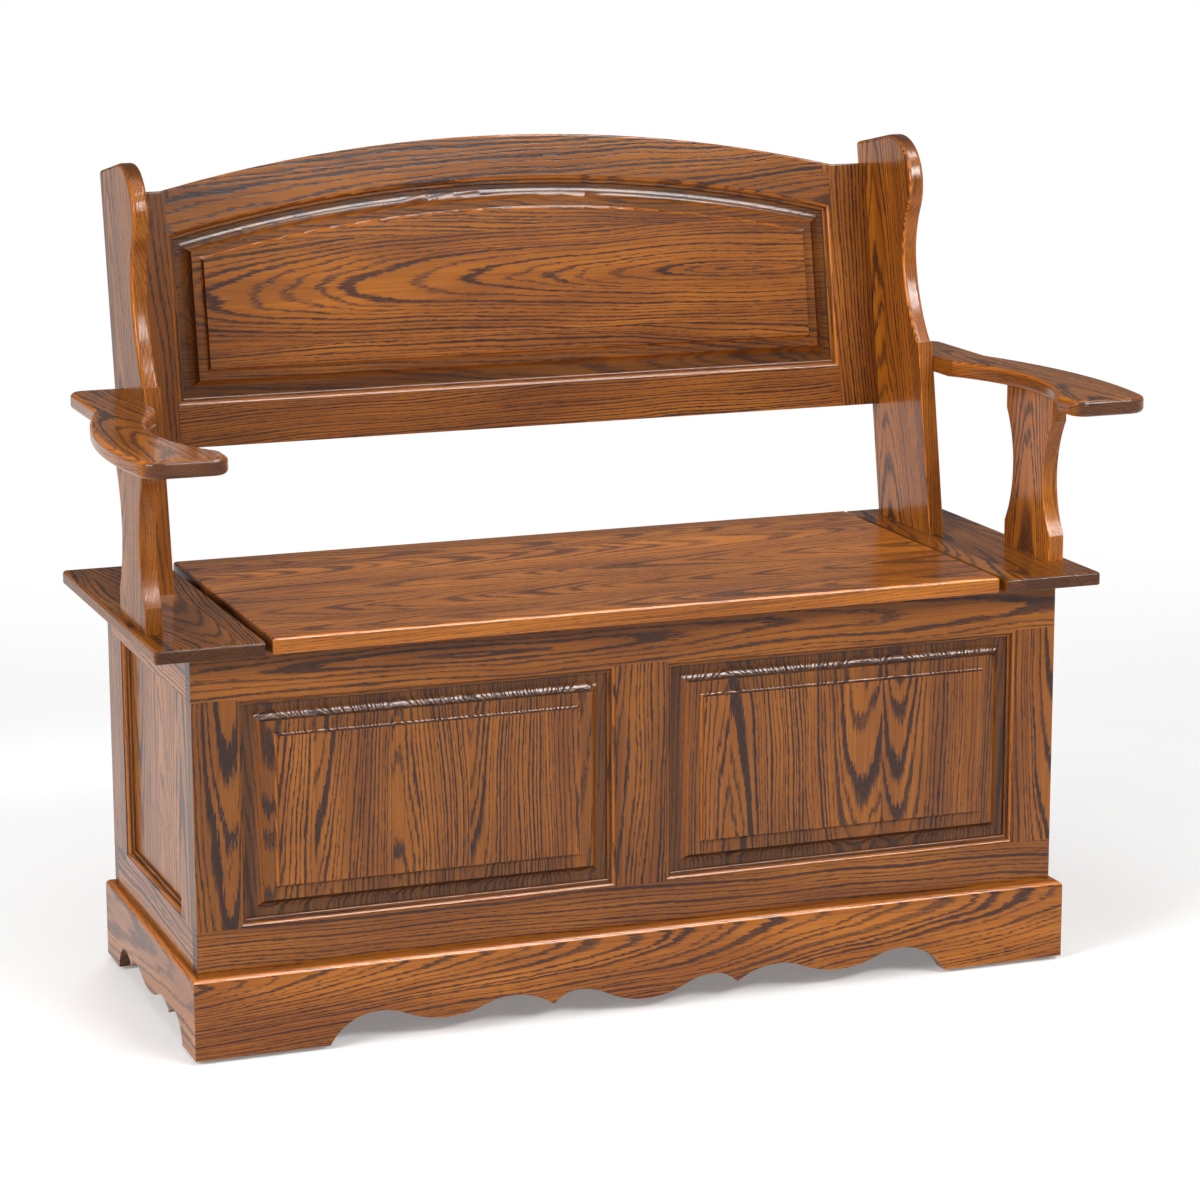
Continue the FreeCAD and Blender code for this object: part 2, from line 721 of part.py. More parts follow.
def wave(peak, lobe):
    """Between a hollow and a lobe: the turning point, and both radii."""
    (peak_at, peak_height), (lobe_at, lobe_height) = peak, lobe
    along = lobe_at - peak_at
    rise = peak_height - lobe_height
    both = (along * along + rise * rise) / (rise * 2)
    turn = (peak_at + along * D.wave_share, peak_height - rise * D.wave_share)
    return turn, both * D.wave_share, both - both * D.wave_share


def rise_radius(peak, end):
    """Radius of the arc that leaves a hollow's top level and passes through a point."""
    along = end[0] - peak[0]
    rise = peak[1] - end[1]
    return (along * along + rise * rise) / (rise * 2)


def front_scallop():
    """Half of the front's lower edge, foot to middle: points, and the radius after each."""
    foot = (D.front_foot, zero)
    outer = (D.front_peak_outer, D.outer_peak_height)
    lobe = (D.front_lobe_outer, D.outer_lobe_height)
    centre = (D.front_peak_middle, D.middle_peak_height)
    cusp = (D.front_cusp, D.cusp_height)
    inner = (D.front_peak_inner, D.inner_peak_height)
    low = (zero, D.middle_lobe_height)
    turn_a, hollow_a, lobe_a = wave(outer, lobe)
    turn_b, hollow_b, lobe_b = wave(centre, lobe)
    turn_c, hollow_c, lobe_c = wave(inner, low)
    return [
        (foot, rise_radius(outer, foot), 1),
        (outer, hollow_a, 1),
        (turn_a, lobe_a, -1),
        (lobe, lobe_b, -1),
        (turn_b, hollow_b, 1),
        (centre, rise_radius(centre, cusp), 1),
        (cusp, rise_radius(inner, cusp), 1),
        (inner, hollow_c, 1),
        (turn_c, lobe_c, -1),
        (low, None, 0),
    ]


def side_scallop():
    """Half of a side's lower edge, foot to middle."""
    foot = (D.side_foot, zero)
    cusp = (D.side_cusp, D.side_cusp_height)
    peak = (D.side_peak, D.side_peak_height)
    low = (zero, D.side_lobe_height)
    turn, hollow, lobe = wave(peak, low)
    return [
        (foot, D.side_foot_radius, 1),
        (cusp, rise_radius(peak, cusp), 1),
        (peak, hollow, 1),
        (turn, lobe, -1),
        (low, None, 0),
    ]


def skirt_outline(reach, centre, steps):
    """Outline of a plinth board: straight ends and top, and a symmetrical wavy lower edge."""
    points = [(centre - reach, D.skirt_height), (centre - reach, zero)]
    arcs = {}
    half_points = [step[0] for step in steps]
    signs = [step[2] for step in steps]
    radii = [step[1] for step in steps]
    count = len(steps)
    for index in range(count):
        at, height = half_points[index]
        points.append((centre - at, height))
        if index + 1 < count:
            after_at, after_height = half_points[index + 1]
            spot = (centre - (at + after_at) / 2, (height + after_height) / 2 + D.bite * signs[index])
            arcs[len(points) - 1] = (radii[index], spot)
    for index in range(count - 2, -1, -1):
        at, height = half_points[index]
        after_at, after_height = half_points[index + 1]
        spot = (centre + (at + after_at) / 2, (height + after_height) / 2 + D.bite * signs[index])
        arcs[len(points) - 1] = (radii[index], spot)
        points.append((centre + at, height))
    points += [(centre + reach, zero), (centre + reach, D.skirt_height)]
    return points, arcs


def make_plinth():
    """Mitred plinth: scalloped front and sides, plain back, ledgers, corner blocks, glides."""
    out_x = half + D.skirt_side_reveal
    front = -D.skirt_front_reveal
    back = D.chest_depth + D.skirt_back_reveal
    in_x = out_x - D.skirt_thick
    in_front = front + D.skirt_thick
    in_back = back - D.skirt_thick
    top = D.skirt_height
    length = D.skirt_thick + D.bite

    def mitre(body, name, corner, way_x, way_y):
        """Takes the corner off on the inner side of the 45 degree joint."""
        x, y = corner
        points = [
            (x - way_x * D.bite, y - way_y * D.bite),
            (x + way_x * length, y + way_y * length),
        ]
        (near_x, near_y), (far_x, far_y) = points
        points.append((near_x, far_y) if name.endswith("end") else (far_x, near_y))
        carve(body, name, "XY", -D.bite, top + D.bite, points)

    points, arcs = skirt_outline(out_x, zero, front_scallop())
    board = new_body("skirt_front")
    pad(board, "skirt_front_board", "XZ", front, in_front, points, arcs)
    round_edges(board, "skirt_front_edge", D.skirt_round,
                lambda edge: lies_at(edge, "Z", top) and lies_at(edge, "Y", front))
    mitre(board, "skirt_front_left_end", (-out_x, front), 1, 1)
    mitre(board, "skirt_front_right_end", (out_x, front), -1, 1)
    keep(board)

    board = block("skirt_back", (-out_x, in_back, zero), (out_x, back, top))
    round_edges(board, "skirt_back_edge", D.skirt_round,
                lambda edge: lies_at(edge, "Z", top) and lies_at(edge, "Y", back))
    mitre(board, "skirt_back_left_end", (-out_x, back), 1, -1)
    mitre(board, "skirt_back_right_end", (out_x, back), -1, -1)
    keep(board)

    centre = (front + back) / 2
    points, arcs = skirt_outline((back - front) / 2, centre, side_scallop())
    for which, side in SIDES:
        low, high = span(side, in_x, out_x)
        board = new_body(f"skirt_{which}")
        pad(board, f"skirt_{which}_board", "YZ", low, high, points, arcs)
        round_edges(board, f"skirt_{which}_edge", D.skirt_round,
                    lambda edge: lies_at(edge, "Z", top) and lies_at(edge, "X", out_x * side))
        mitre(board, f"skirt_{which}_front", (out_x * side, front), -side, 1)
        mitre(board, f"skirt_{which}_rear", (out_x * side, back), -side, -1)
        keep(board)

    ledge = top - D.ledger_height
    long_strips = [
        block(f"ledger_{name}", (-in_x, low, ledge), (in_x, high, top))
        for name, low, high in (
            ("front", in_front, in_front + D.ledger_width),
            ("back", in_back - D.ledger_width, in_back),
        )
    ]
    group("plinth_ledgers_long", long_strips)
    short_strips = []
    for which, side in SIDES:
        low, high = span(side, in_x - D.ledger_width, in_x)
        short_strips.append(block(
            f"ledger_{which}",
            (low, in_front + D.ledger_width, ledge),
            (high, in_back - D.ledger_width, top),
        ))
    group("plinth_ledgers_short", short_strips)

    blocks, glides = [], []
    for which, side in SIDES:
        for end, y, way in (("front", in_front, 1), ("back", in_back, -1)):
            x = in_x * side
            body = new_body(f"corner_block_{which}_{end}")
            corner = [(x, y), (x - D.block_leg * side, y), (x, y + D.block_leg * way)]
            pad(body, f"corner_block_{which}_{end}_solid", "XY", zero, D.block_height, corner)
            blocks.append(body)
            glides.append(cylinder(
                f"glide_{which}_{end}",
                (x - D.glide_inset * side, y + D.glide_inset * way, zero),
                "-Z", D.glide_radius, D.glide_height,
            ))
    group("corner_blocks", blocks)
    group("floor_glides", glides)


def make_seat_ends(dowels, post_screws, cleat_screws):
    """Fixed ends of the seat, and the cleats that hold them from inside the chest."""
    outer = half + D.seat_end_overhang
    front = -D.seat_front_overhang
    back = D.chest_depth + D.seat_back_overhang
    for which, side in SIDES:
        low, high = span(side, D.seat_end_inner, outer)
        label = f"seat_end_{which}"
        board = block(f"{label}_blank", (low, front, rim), (high, back, seat_level))
        round_edges(board, f"{label}_corners", D.seat_corner,
                    lambda edge: lies_at(edge, "X", outer * side) and not same(edge.BoundBox.ZLength, 0))
        inner = D.seat_end_inner * side
        faces = (("edges", seat_level, D.seat_edge_round), ("under", rim, D.seat_under_round))
        for name, level, radius in faces:
            round_edges(board, f"{label}_{name}", radius,
                        lambda edge: lies_at(edge, "Z", level) and not lies_at(edge, "X", inner))
        keep(cut(label, board, dowels, post_screws, cleat_screws))
        low, high = span(side, inner_side - D.cleat_width, inner_side)
        label = f"seat_cleat_{which}"
        cleat = block(f"{label}_blank", (low, D.stock, rim - D.cleat_height), (high, rear_inner, rim))
        keep(cut(label, cleat, cleat_screws))


def make_lid(lid_screws):
    """Seat lid, which swings up on the hinges behind the chest."""
    reach = D.lid_width / 2
    under = rim + D.lid_gap
    front = -D.lid_front_overhang
    back = D.chest_depth + D.lid_back_overhang
    upper = under + D.lid_thick
    board = block("lid_blank", (-reach, front, under), (reach, back, upper))
    round_edges(board, "lid_corners", D.lid_corner,
                lambda edge: lies_at(edge, "Y", front) and not same(edge.BoundBox.ZLength, 0))
    for name, level, radius in (("edges", upper, D.lid_round), ("under", under, D.seat_under_round)):
        round_edges(board, f"lid_{name}", radius,
                    lambda edge: lies_at(edge, "Z", level) and not lies_at(edge, "Y", back))
    keep(cut("lid", board, lid_screws))


def post_outline():
    """Side view of a post: straight back, round nose, hollow waist, small ledge."""
    nose_height = D.post_length - D.post_nose_radius
    drop = nose_height - D.post_waist
    hollow = D.post_nose_depth - D.post_waist_depth
    both = (drop * drop + hollow * hollow) / (hollow * 2)
    turn = (-(D.post_nose_depth - hollow * D.post_turn_share), nose_height - drop * D.post_turn_share)
    curve_end = D.post_depth - D.post_ledge
    run = D.post_waist - D.post_shoulder
    swell = curve_end - D.post_waist_depth
    foot_rise = D.post_depth * sin_recline / cos_recline
    points = [
        (zero, zero),
        (zero, D.post_length),
        (-(D.post_nose_depth - D.post_nose_radius), D.post_length),
        (-D.post_nose_depth, nose_height),
        turn,
        (-D.post_waist_depth, D.post_waist),
        (-curve_end, D.post_shoulder),
        (-D.post_depth, D.post_shoulder),
        (-D.post_depth, -foot_rise),
    ]
    arcs = {
        2: (D.post_nose_radius, (-D.post_nose_depth, D.post_length)),
        3: (both * D.post_turn_share, (-D.post_nose_depth, nose_height - drop * D.post_turn_share / 2)),
        4: (both - both * D.post_turn_share, (-D.post_waist_depth, D.post_waist + drop / 2)),
        5: ((run * run + swell * swell) / (swell * 2), (-D.post_waist_depth, D.post_waist - run / 2)),
    }
    return points, arcs


def make_posts(dowels, post_screws):
    """Scrolled posts that stand on the seat ends and lean back."""
    points, arcs = post_outline()
    shoulder = amount(D.post_shoulder)
    for which, side in SIDES:
        label = f"post_{which}"
        low, high = span(side, D.post_inner, post_outer)
        post = new_body(f"{label}_blank", leaning=True)
        pad(post, f"{label}_board", "YZ", low, high, points, arcs)

        def on_scroll(edge):
            box = edge.BoundBox
            across = lies_at(edge, "X", low) or lies_at(edge, "X", high)
            above = box.ZMin > shoulder - TOUCH and box.ZMax > shoulder + TOUCH
            return across and above and not lies_at(edge, "Y", zero)

        round_edges(post, f"{label}_scroll", D.post_round, on_scroll)
        round_edges(post, f"{label}_front", D.post_arris,
                    lambda edge: lies_at(edge, "Y", -D.post_depth)
                    and (lies_at(edge, "X", low) or lies_at(edge, "X", high)))
        keep(cut(label, post, dowels, post_screws))


def make_back(dowels):
    """Reclined back frame with an arched top rail and a raised panel."""
    front = -D.stock
    face = ("Y", front, 1)
    inner = rest_inner
    centre = rest_crown - rest_arch
    lower = D.rest_bottom + D.rest_rail_width
    under_arch = rest_arch - D.rest_rail_width

    def arch_at(radius, x):
        return centre + root(radius * radius - x * x)

    def on_crest(edge):
        box = edge.BoundBox
        along = lies_at(edge, "Y", front) or lies_at(edge, "Y", zero)
        return along and box.ZMin > amount(D.rest_stile_top) - TOUCH and box.XLength > TOUCH

    reach = inner + D.slot_depth
    tenon_top = D.rest_stile_top - D.slot_depth
    stiles = []
    for which, side in SIDES:
        label = f"back_stile_{which}"
        stile = new_body(f"{label}_blank", leaning=True)
        points = [
            (inner * side, D.rest_bottom),
            (D.post_inner * side, D.rest_bottom),
            (D.post_inner * side, D.rest_stile_top),
            (arch_half * side, D.rest_stile_top),
            (inner * side, arch_at(rest_arch, inner)),
        ]
        run_middle = (inner + arch_half) / 2
        arcs = {3: (rest_arch, (run_middle * side, arch_at(rest_arch, run_middle)))}
        pad(stile, f"{label}_board", "XZ", front, zero, points, arcs)
        round_edges(stile, f"{label}_top", D.rest_round, on_crest)
        frame_edge(stile, "Z", D.rest_bottom, tenon_top - D.bite, ("X", inner * side, side), face)
        stiles.append(stile)
        keep(cut(label, stile, dowels))

    rail = block("back_bottom_rail_blank", (-reach, front, D.rest_bottom), (reach, zero, lower), True)
    frame_edge(rail, "X", -reach, reach, ("Z", lower, -1), face)
    keep(cut("back_bottom_rail", rail, *stiles))

    rail = new_body("back_top_rail_blank", leaning=True)
    points = [
        (-reach, arch_at(under_arch, reach)),
        (reach, arch_at(under_arch, reach)),
        (reach, tenon_top),
        (inner, tenon_top),
        (inner, arch_at(rest_arch, inner)),
        (-inner, arch_at(rest_arch, inner)),
        (-inner, tenon_top),
        (-reach, tenon_top),
    ]
    arcs = {0: (under_arch, (zero, rest_crown - D.rest_rail_width)), 4: (rest_arch, (zero, rest_crown))}
    pad(rail, "back_top_rail_board", "XZ", front, zero, points, arcs)
    round_edges(rail, "back_top_rail_top", D.rest_round, on_crest)
    for name, profile in (("mould", moulding()), ("slot", slot())):
        turn_profile(rail, f"back_top_{name}", centre, under_arch, 1, front, profile)
    keep(cut("back_top_rail", rail, *stiles))

    side_reach = inner + slot_reach
    back = front + D.slot_set + D.slot_width - D.panel_play
    panel = new_body("back_panel", leaning=True)
    points = [
        (-side_reach, lower - slot_reach),
        (side_reach, lower - slot_reach),
        (side_reach, arch_at(under_arch + slot_reach, side_reach)),
        (-side_reach, arch_at(under_arch + slot_reach, side_reach)),
    ]
    arcs = {2: (under_arch + slot_reach, (zero, rest_crown))}
    pad(panel, "back_panel_board", "XZ", front - D.panel_proud, back, points, arcs)
    bars = (("left", "Z", "X", -inner, 1), ("right", "Z", "X", inner, -1), ("bottom", "X", "Z", lower, 1))
    beyond = D.slot_depth + D.bite
    for name, run, axis, edge, way in bars:
        start, end = (lower, rest_crown) if run == "Z" else (-inner, inner)
        run_profile(panel, f"back_panel_{name}", run, start - beyond, end + beyond, (axis, edge, way), face,
                    raising(D.back_margin))
    turn_profile(panel, "back_panel_top", centre, under_arch, -1, front, raising(D.back_margin))
    keep(panel)


def arm_outline(side):
    """Plan of an arm: tail beside the post, swelling outer edge, hollow inner edge."""
    tail_outer = post_outer + D.arm_tail_width
    widest = post_outer + D.arm_swell
    back = D.arm_back
    front = -D.arm_front
    rise = widest - tail_outer
    run = D.arm_notch - D.arm_swell_at
    swell = (run * run + rise * rise) / (rise * 2)
    fore = D.arm_swell_at - front
    outer_front = widest - swell + root(swell * swell - fore * fore)
    hollow_centre = post_outer - root(
        D.arm_hollow_radius * D.arm_hollow_radius
        - (D.arm_hollow_start - D.arm_hollow_at) * (D.arm_hollow_start - D.arm_hollow_at)
    )
    tip_run = D.arm_hollow_at + D.arm_tip_inner
    tip = hollow_centre + root(D.arm_hollow_radius * D.arm_hollow_radius - tip_run * tip_run)
    points = [
        (post_outer * side, back),
        (tail_outer * side, back),
        (tail_outer * side, D.arm_notch),
        (outer_front * side, front),
        (tip * side, front),
        (tip * side, -D.arm_tip_inner),
        (post_outer * side, D.arm_hollow_start),
    ]
    arcs = {
        2: (swell, (widest * side, D.arm_swell_at)),
        5: (D.arm_hollow_radius, ((hollow_centre + D.arm_hollow_radius) * side, D.arm_hollow_at)),
    }
    corners = {
        "tail": (tail_outer * side, back, D.arm_tail_round),
        "outer": (outer_front * side, front, D.arm_outer_round),
        "inner": (tip * side, front, D.arm_inner_round),
    }
    return points, arcs, corners


def make_arms(dowels):
    """Arms, dowelled to the posts' outer faces and to their supports."""
    for which, side in SIDES:
        label = f"arm_{which}"
        points, arcs, corners = arm_outline(side)
        arm = new_body(f"{label}_blank")
        pad(arm, f"{label}_board", "XY", arm_lower, arm_upper, points, arcs)
        for name, (x, y, radius) in corners.items():
            round_edges(arm, f"{label}_{name}_corner", radius,
                        lambda edge: lies_at(edge, "X", x) and lies_at(edge, "Y", y))

        def on_rim(edge):
            level = lies_at(edge, "Z", arm_upper) or lies_at(edge, "Z", arm_lower)
            return level and not lies_at(edge, "X", post_outer * side)

        round_edges(arm, f"{label}_rim", D.arm_edge_round, on_rim)
        keep(cut(label, arm, dowels))


def make_supports(dowels):
    """Waisted boards under the front of the arms."""
    front = D.support_front
    back = front + D.support_width
    nip = (D.support_width - D.support_waist) / 2
    low_corner = seat_level + D.support_block
    high_corner = arm_lower - D.support_block
    mid = (low_corner + high_corner) / 2
    chord = (high_corner - low_corner) / 2
    radius = (chord * chord + nip * nip) / (nip * 2)
    points = [
        (front, seat_level), (back, seat_level), (back, low_corner), (back, high_corner),
        (back, arm_lower), (front, arm_lower), (front, high_corner), (front, low_corner),
    ]
    arcs = {2: (radius, (back - nip, mid)), 6: (radius, (front + nip, mid))}
    for which, side in SIDES:
        label = f"arm_support_{which}"
        low, high = span(side, D.support_inner, D.support_inner + D.stock)
        board = new_body(f"{label}_blank")
        pad(board, f"{label}_board", "YZ", low, high, points, arcs)
        round_edges(board, f"{label}_arris", D.arris,
                    lambda edge: (lies_at(edge, "X", low) or lies_at(edge, "X", high))
                    and not lies_at(edge, "Z", seat_level) and not lies_at(edge, "Z", arm_lower))
        keep(cut(label, board, dowels))


def make_dowels():
    """All the dowels: back frame to posts, arms to posts, supports to arms and seat ends."""
    dowels = []
    deep = D.dowel_in_post

    def add(name, at, way):
        dowels.append(cylinder(f"dowel_{name}_{len(dowels)}", at, way, D.dowel_radius, D.dowel_length))

    arm_middle = (arm_upper + arm_lower) / 2
    support_middle = D.support_inner + D.stock / 2
    third = D.support_width / 3
    for which, side in SIDES:
        inward, outward = ("-X", "+X") if side > 0 else ("+X", "-X")
        for along in (D.rest_bottom + D.rest_rail_width / 2, (D.rest_bottom + D.rest_stile_top) / 2,
                      D.rest_stile_top - D.rest_rail_width / 2):
            y, z = leaning_point(D.stock / 2, along)
            add(f"back_{which}", ((D.post_inner + deep) * side, y, z), inward)
        for y in (D.arm_notch + D.dowel_length, D.arm_back - D.dowel_length):
            add(f"arm_{which}", ((post_outer - deep) * side, y, arm_middle), outward)
        for y in (D.support_front + third, D.support_front + third * 2):
            add(f"foot_{which}", (support_middle * side, y, seat_level - deep), "+Z")
            add(f"head_{which}", (support_middle * side, y, arm_lower + deep), "-Z")
    return group("dowels", dowels)


def make_screws():
    """Screws up into the posts, and through the cleats into the seat ends."""
    post_screws, cleat_screws = [], []
    post_middle = D.post_inner + D.stock / 2
    cleat_x = inner_side - D.cleat_width / 2
    for which, side in SIDES:
        for quarter in (1, 2, 3):
            y = D.post_back - D.post_depth * quarter / 4
            post_screws.append(screw(f"post_screw_{which}_{len(post_screws)}", (post_middle * side, y, rim),
                                     "+Z", D.post_screw_length, D.screw_radius, D.screw_head_radius))
        for y in (D.cleat_screw_inset, D.chest_depth / 2, D.chest_depth - D.cleat_screw_inset):
            cleat_screws.append(screw(f"cleat_screw_{which}_{len(cleat_screws)}",
                                      (cleat_x * side, y, rim - D.cleat_height),
                                      "+Z", D.cleat_screw_length, D.screw_radius, D.screw_head_radius))
    return group("post_screws", post_screws), group("seat_end_screws", cleat_screws)


def make_hinge_screws():
    """Screws of the hinges: into the chest's back rail, and up into the lid."""
    fixed, moving = [], []
    leaf_back = D.chest_depth + D.leaf_thick
    level = rim - D.leaf_drop + D.leaf_screw_rise
    reach = (hinge_y + D.barrel_radius + D.chest_depth + D.leaf_reach) / 2
    low = rim + D.lid_gap - D.leaf_thick
    for which, side in SIDES:
        for step in (-1, 0, 1):
            x = D.hinge_at * side + D.leaf_screw_pitch * step
            fixed.append(screw(f"chest_screw_{which}_{len(fixed)}", (x, leaf_back, level), "-Y",
                               D.leaf_screw_length, D.leaf_screw_radius, D.leaf_screw_head))
            moving.append(screw(f"lid_screw_{which}_{len(moving)}", (x, reach, low), "+Z",
                                D.leaf_screw_length, D.leaf_screw_radius, D.leaf_screw_head))
    return group("hinge_screws_chest", fixed), group("hinge_screws_lid", moving)


def make_hinges(fixed_screws, moving_screws):
    """Two butt hinges, each with a leaf on the chest, a leaf under the lid, and a pin."""
    knuckle = D.hinge_length / KNUCKLES
    gap = D.knuckle_gap / 2
    leaf_back = D.chest_depth + D.leaf_thick
    leaf_end = D.chest_depth + D.leaf_reach
    lid_under = rim + D.lid_gap
    for which, side in SIDES:
        left = D.hinge_at * side - D.hinge_length / 2
        bore_radius = D.pin_radius + D.pin_play
        right = left + D.hinge_length
        pin = cylinder(f"hinge_pin_{which}", (left, hinge_y, hinge_z), "+X", D.pin_radius, D.hinge_length)
        leaves = {
            "chest": (0, (left, D.chest_depth, rim - D.leaf_drop), (right, leaf_back, hinge_z)),
            "lid": (1, (left, hinge_y, lid_under - D.leaf_thick), (right, leaf_end, lid_under)),
        }
        for name, (turn, low, high) in leaves.items():
            label = f"hinge_{name}_leaf_{which}"
            plate = block(f"{label}_plate", low, high)
            barrels, gaps = [], []
            for number in range(KNUCKLES):
                start = left + knuckle * number
                if number % 2 == turn:
                    spot = (start + gap, hinge_y, hinge_z)
                    barrels.append(cylinder(f"{label}_knuckle_{number}", spot, "+X",
                                            D.barrel_radius, knuckle - D.knuckle_gap))
                else:
                    spot = (start - gap, hinge_y, hinge_z)
                    gaps.append(cylinder(f"{label}_gap_{number}", spot, "+X",
                                         D.barrel_radius + D.knuckle_gap, knuckle + D.knuckle_gap))
            cleared = cut(f"{label}_cleared", plate, *gaps)
            whole = doc.addObject("Part::MultiFuse", f"{label}_whole")
            whole.Shapes = [cleared] + barrels
            bore = cylinder(f"{label}_bore", (left - D.bite, hinge_y, hinge_z), "+X", bore_radius,
                            D.hinge_length + D.bite * 2)
            screws = fixed_screws if name == "chest" else moving_screws
            keep(cut(label, whole, bore, screws))
        keep(pin)


dowels = make_dowels()
post_screws, cleat_screws = make_screws()
chest_hinge_screws, lid_hinge_screws = make_hinge_screws()
make_front()
for side_name, side_sign in SIDES:
    make_side(side_name, side_sign)
make_rear(chest_hinge_screws)
make_floor()
make_plinth()
make_seat_ends(dowels, post_screws, cleat_screws)
make_lid(lid_hinge_screws)
make_hinges(chest_hinge_screws, lid_hinge_screws)
make_posts(dowels, post_screws)
make_back(dowels)
make_arms(dowels)
make_supports(dowels)
doc.recompute()

for item in doc.Objects:
    if "Invalid" in item.State or "Error" in item.State:
        raise RuntimeError(f"{item.Label} failed: {item.State}")
os.makedirs("parts", exist_ok=True)
for node in nodes:
    shape = node.Shape
    if shape.isNull() or not shape.isValid() or not shape.Solids:
        raise RuntimeError(f"{node.Label} has no valid solid")
    shape.exportStep(f"parts/{node.Label}.step")
    box = shape.BoundBox
    print(
        f"{node.Label:28s} {len(shape.Solids):2d} solids  x {box.XMin:8.1f} {box.XMax:8.1f}  "
        f"y {box.YMin:8.1f} {box.YMax:8.1f}  z {box.ZMin:7.1f} {box.ZMax:7.1f}"
    )
print(len(nodes), "pieces")
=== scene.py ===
import math

import bmesh
import bpy
from mathutils import Matrix, Vector


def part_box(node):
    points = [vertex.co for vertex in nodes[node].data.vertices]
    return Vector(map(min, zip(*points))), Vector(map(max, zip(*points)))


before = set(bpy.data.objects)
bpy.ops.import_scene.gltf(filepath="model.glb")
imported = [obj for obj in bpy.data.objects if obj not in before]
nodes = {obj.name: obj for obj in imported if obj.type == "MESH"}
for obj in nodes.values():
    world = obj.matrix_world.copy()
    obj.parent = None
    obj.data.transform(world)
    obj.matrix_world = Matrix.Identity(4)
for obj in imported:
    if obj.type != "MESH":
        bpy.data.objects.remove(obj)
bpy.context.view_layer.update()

# Settle bench in stained, lacquered oak. Every board keeps its shape from the frame
# and gets its own cut of the same oak, with the grain along the board.

scene = bpy.context.scene


class Tree:
    """A node tree with short calls to add nodes and join them."""

    def __init__(self, tree):
        self.tree = tree

    def node(self, kind, **settings):
        made = self.tree.nodes.new(kind)
        for name, value in settings.items():
            setattr(made, name, value)
        return made

    def join(self, value, socket):
        """Links a socket to another one, or sets it to a plain value."""
        if isinstance(value, bpy.types.NodeSocket):
            self.tree.links.new(value, socket)
        else:
            socket.default_value = value

    def feed(self, values, sockets):
        for value, socket in zip(values, sockets):
            self.join(value, socket)

    def math(self, operation, *values, clamp=False):
        made = self.node("ShaderNodeMath", operation=operation, use_clamp=clamp)
        self.feed(values, made.inputs)
        return made.outputs[0]

    def plus(self, first, second):
        return self.math("ADD", first, second)

    def minus(self, first, second):
        return self.math("SUBTRACT", first, second)

    def times(self, first, second, clamp=False):
        return self.math("MULTIPLY", first, second, clamp=clamp)

    def times_plus(self, value, factor, extra):
        return self.math("MULTIPLY_ADD", value, factor, extra)

    def ramp(self, value, low, high, to_low=0.0, to_high=1.0, smooth=True):
        """The value's way from low to high, as to_low to to_high, held at both ends."""
        made = self.node("ShaderNodeMapRange",
                         interpolation_type="SMOOTHSTEP" if smooth else "LINEAR")
        self.feed((value, low, high, to_low, to_high), made.inputs)
        return made.outputs[0]

    def mix(self, share, first, second, blend="MIX"):
        """Two colours mixed. A Mix node's colours are its inputs 6 and 7 and its output 2."""
        made = self.node("ShaderNodeMix", data_type="RGBA", blend_type=blend)
        self.join(share, made.inputs["Factor"])
        self.join(first, made.inputs[6])
        self.join(second, made.inputs[7])
        return made.outputs[2]

    def point(self, x, y, z):
        made = self.node("ShaderNodeCombineXYZ")
        self.feed((x, y, z), made.inputs)
        return made.outputs[0]

    def split(self, vector):
        made = self.node("ShaderNodeSeparateXYZ")
        self.join(vector, made.inputs[0])
        return made.outputs

    def noise(self, vector, scale=1.0, detail=2.0, rough=0.5, colour=False):
        """Noise round zero, or its three colour channels round a half."""
        made = self.node("ShaderNodeTexNoise", noise_dimensions="3D")
        self.join(vector, made.inputs["Vector"])
        made.inputs["Scale"].default_value = scale
        made.inputs["Detail"].default_value = detail
        made.inputs["Roughness"].default_value = rough
        if colour:
            return made.outputs["Color"]
        return self.minus(made.outputs["Fac"], 0.5)

    def chance(self, vector):
        """Fixed random numbers for a point: one value, and three channels."""
        made = self.node("ShaderNodeTexWhiteNoise", noise_dimensions="3D")
        self.join(vector, made.inputs["Vector"])
        return made.outputs["Value"], self.split(made.outputs["Color"])

    def bump(self, height, distance):
        made = self.node("ShaderNodeBump")
        made.inputs["Distance"].default_value = distance
        self.join(height, made.inputs["Height"])
        return made.outputs["Normal"]


def srgb(red, green, blue):
    """A colour written as on a screen, 0 to 255, as the linear one that shaders take."""
    def linear(value):
        value /= 255
        return value / 12.92 if value <= 0.04045 else ((value + 0.055) / 1.055) ** 2.4
    return (linear(red), linear(green), linear(blue), 1.0)


# The stained oak's colours.
LATE_WOOD = srgb(166, 98, 26)
LATE_DEEP = srgb(128, 69, 19)
EARLY_WOOD = srgb(60, 34, 25)
PORE = srgb(34, 19, 15)
END_GRAIN = srgb(58, 30, 19)
# rubbed wear on rounded edges, also a painted edge highlight
RUBBED_AND_HIGHLIGHT = srgb(198, 112, 32)

# How much of each colour shows where it is strongest.
EARLY_SHARE = 0.94
PORE_SHARE = 0.6
END_GRAIN_SHARE = 0.72
RUBBED_AND_HIGHLIGHT_SHARE = 0.75

# Tone: its spread from strip to strip and in slow clouds.
STRIP_TONES = 0.30
CLOUD_TONES = 0.35

# Stain gathers in mouldings, together with painted shade of the recess, this many metres behind the
# board's foremost face.
SUNK_FROM = 0.0012
SUNK_BY = 0.0095
SUNK_STAIN_AND_SHADE = 0.62
SUNK_FAINTER = 0.35  # the bands there
EDGE_FAINTER = 0.5   # the bands on a board's narrow edge

# The tree: how its rings wander, and how far along it each strip and cut is taken.
TREE_WANDER = 0.034      # metres
SLOW_ACROSS = 9.0        # waves per metre
SLOW_ALONG = 2.6
STRIP_SHIFT = 3.7
SEED_SHIFT = 1.93

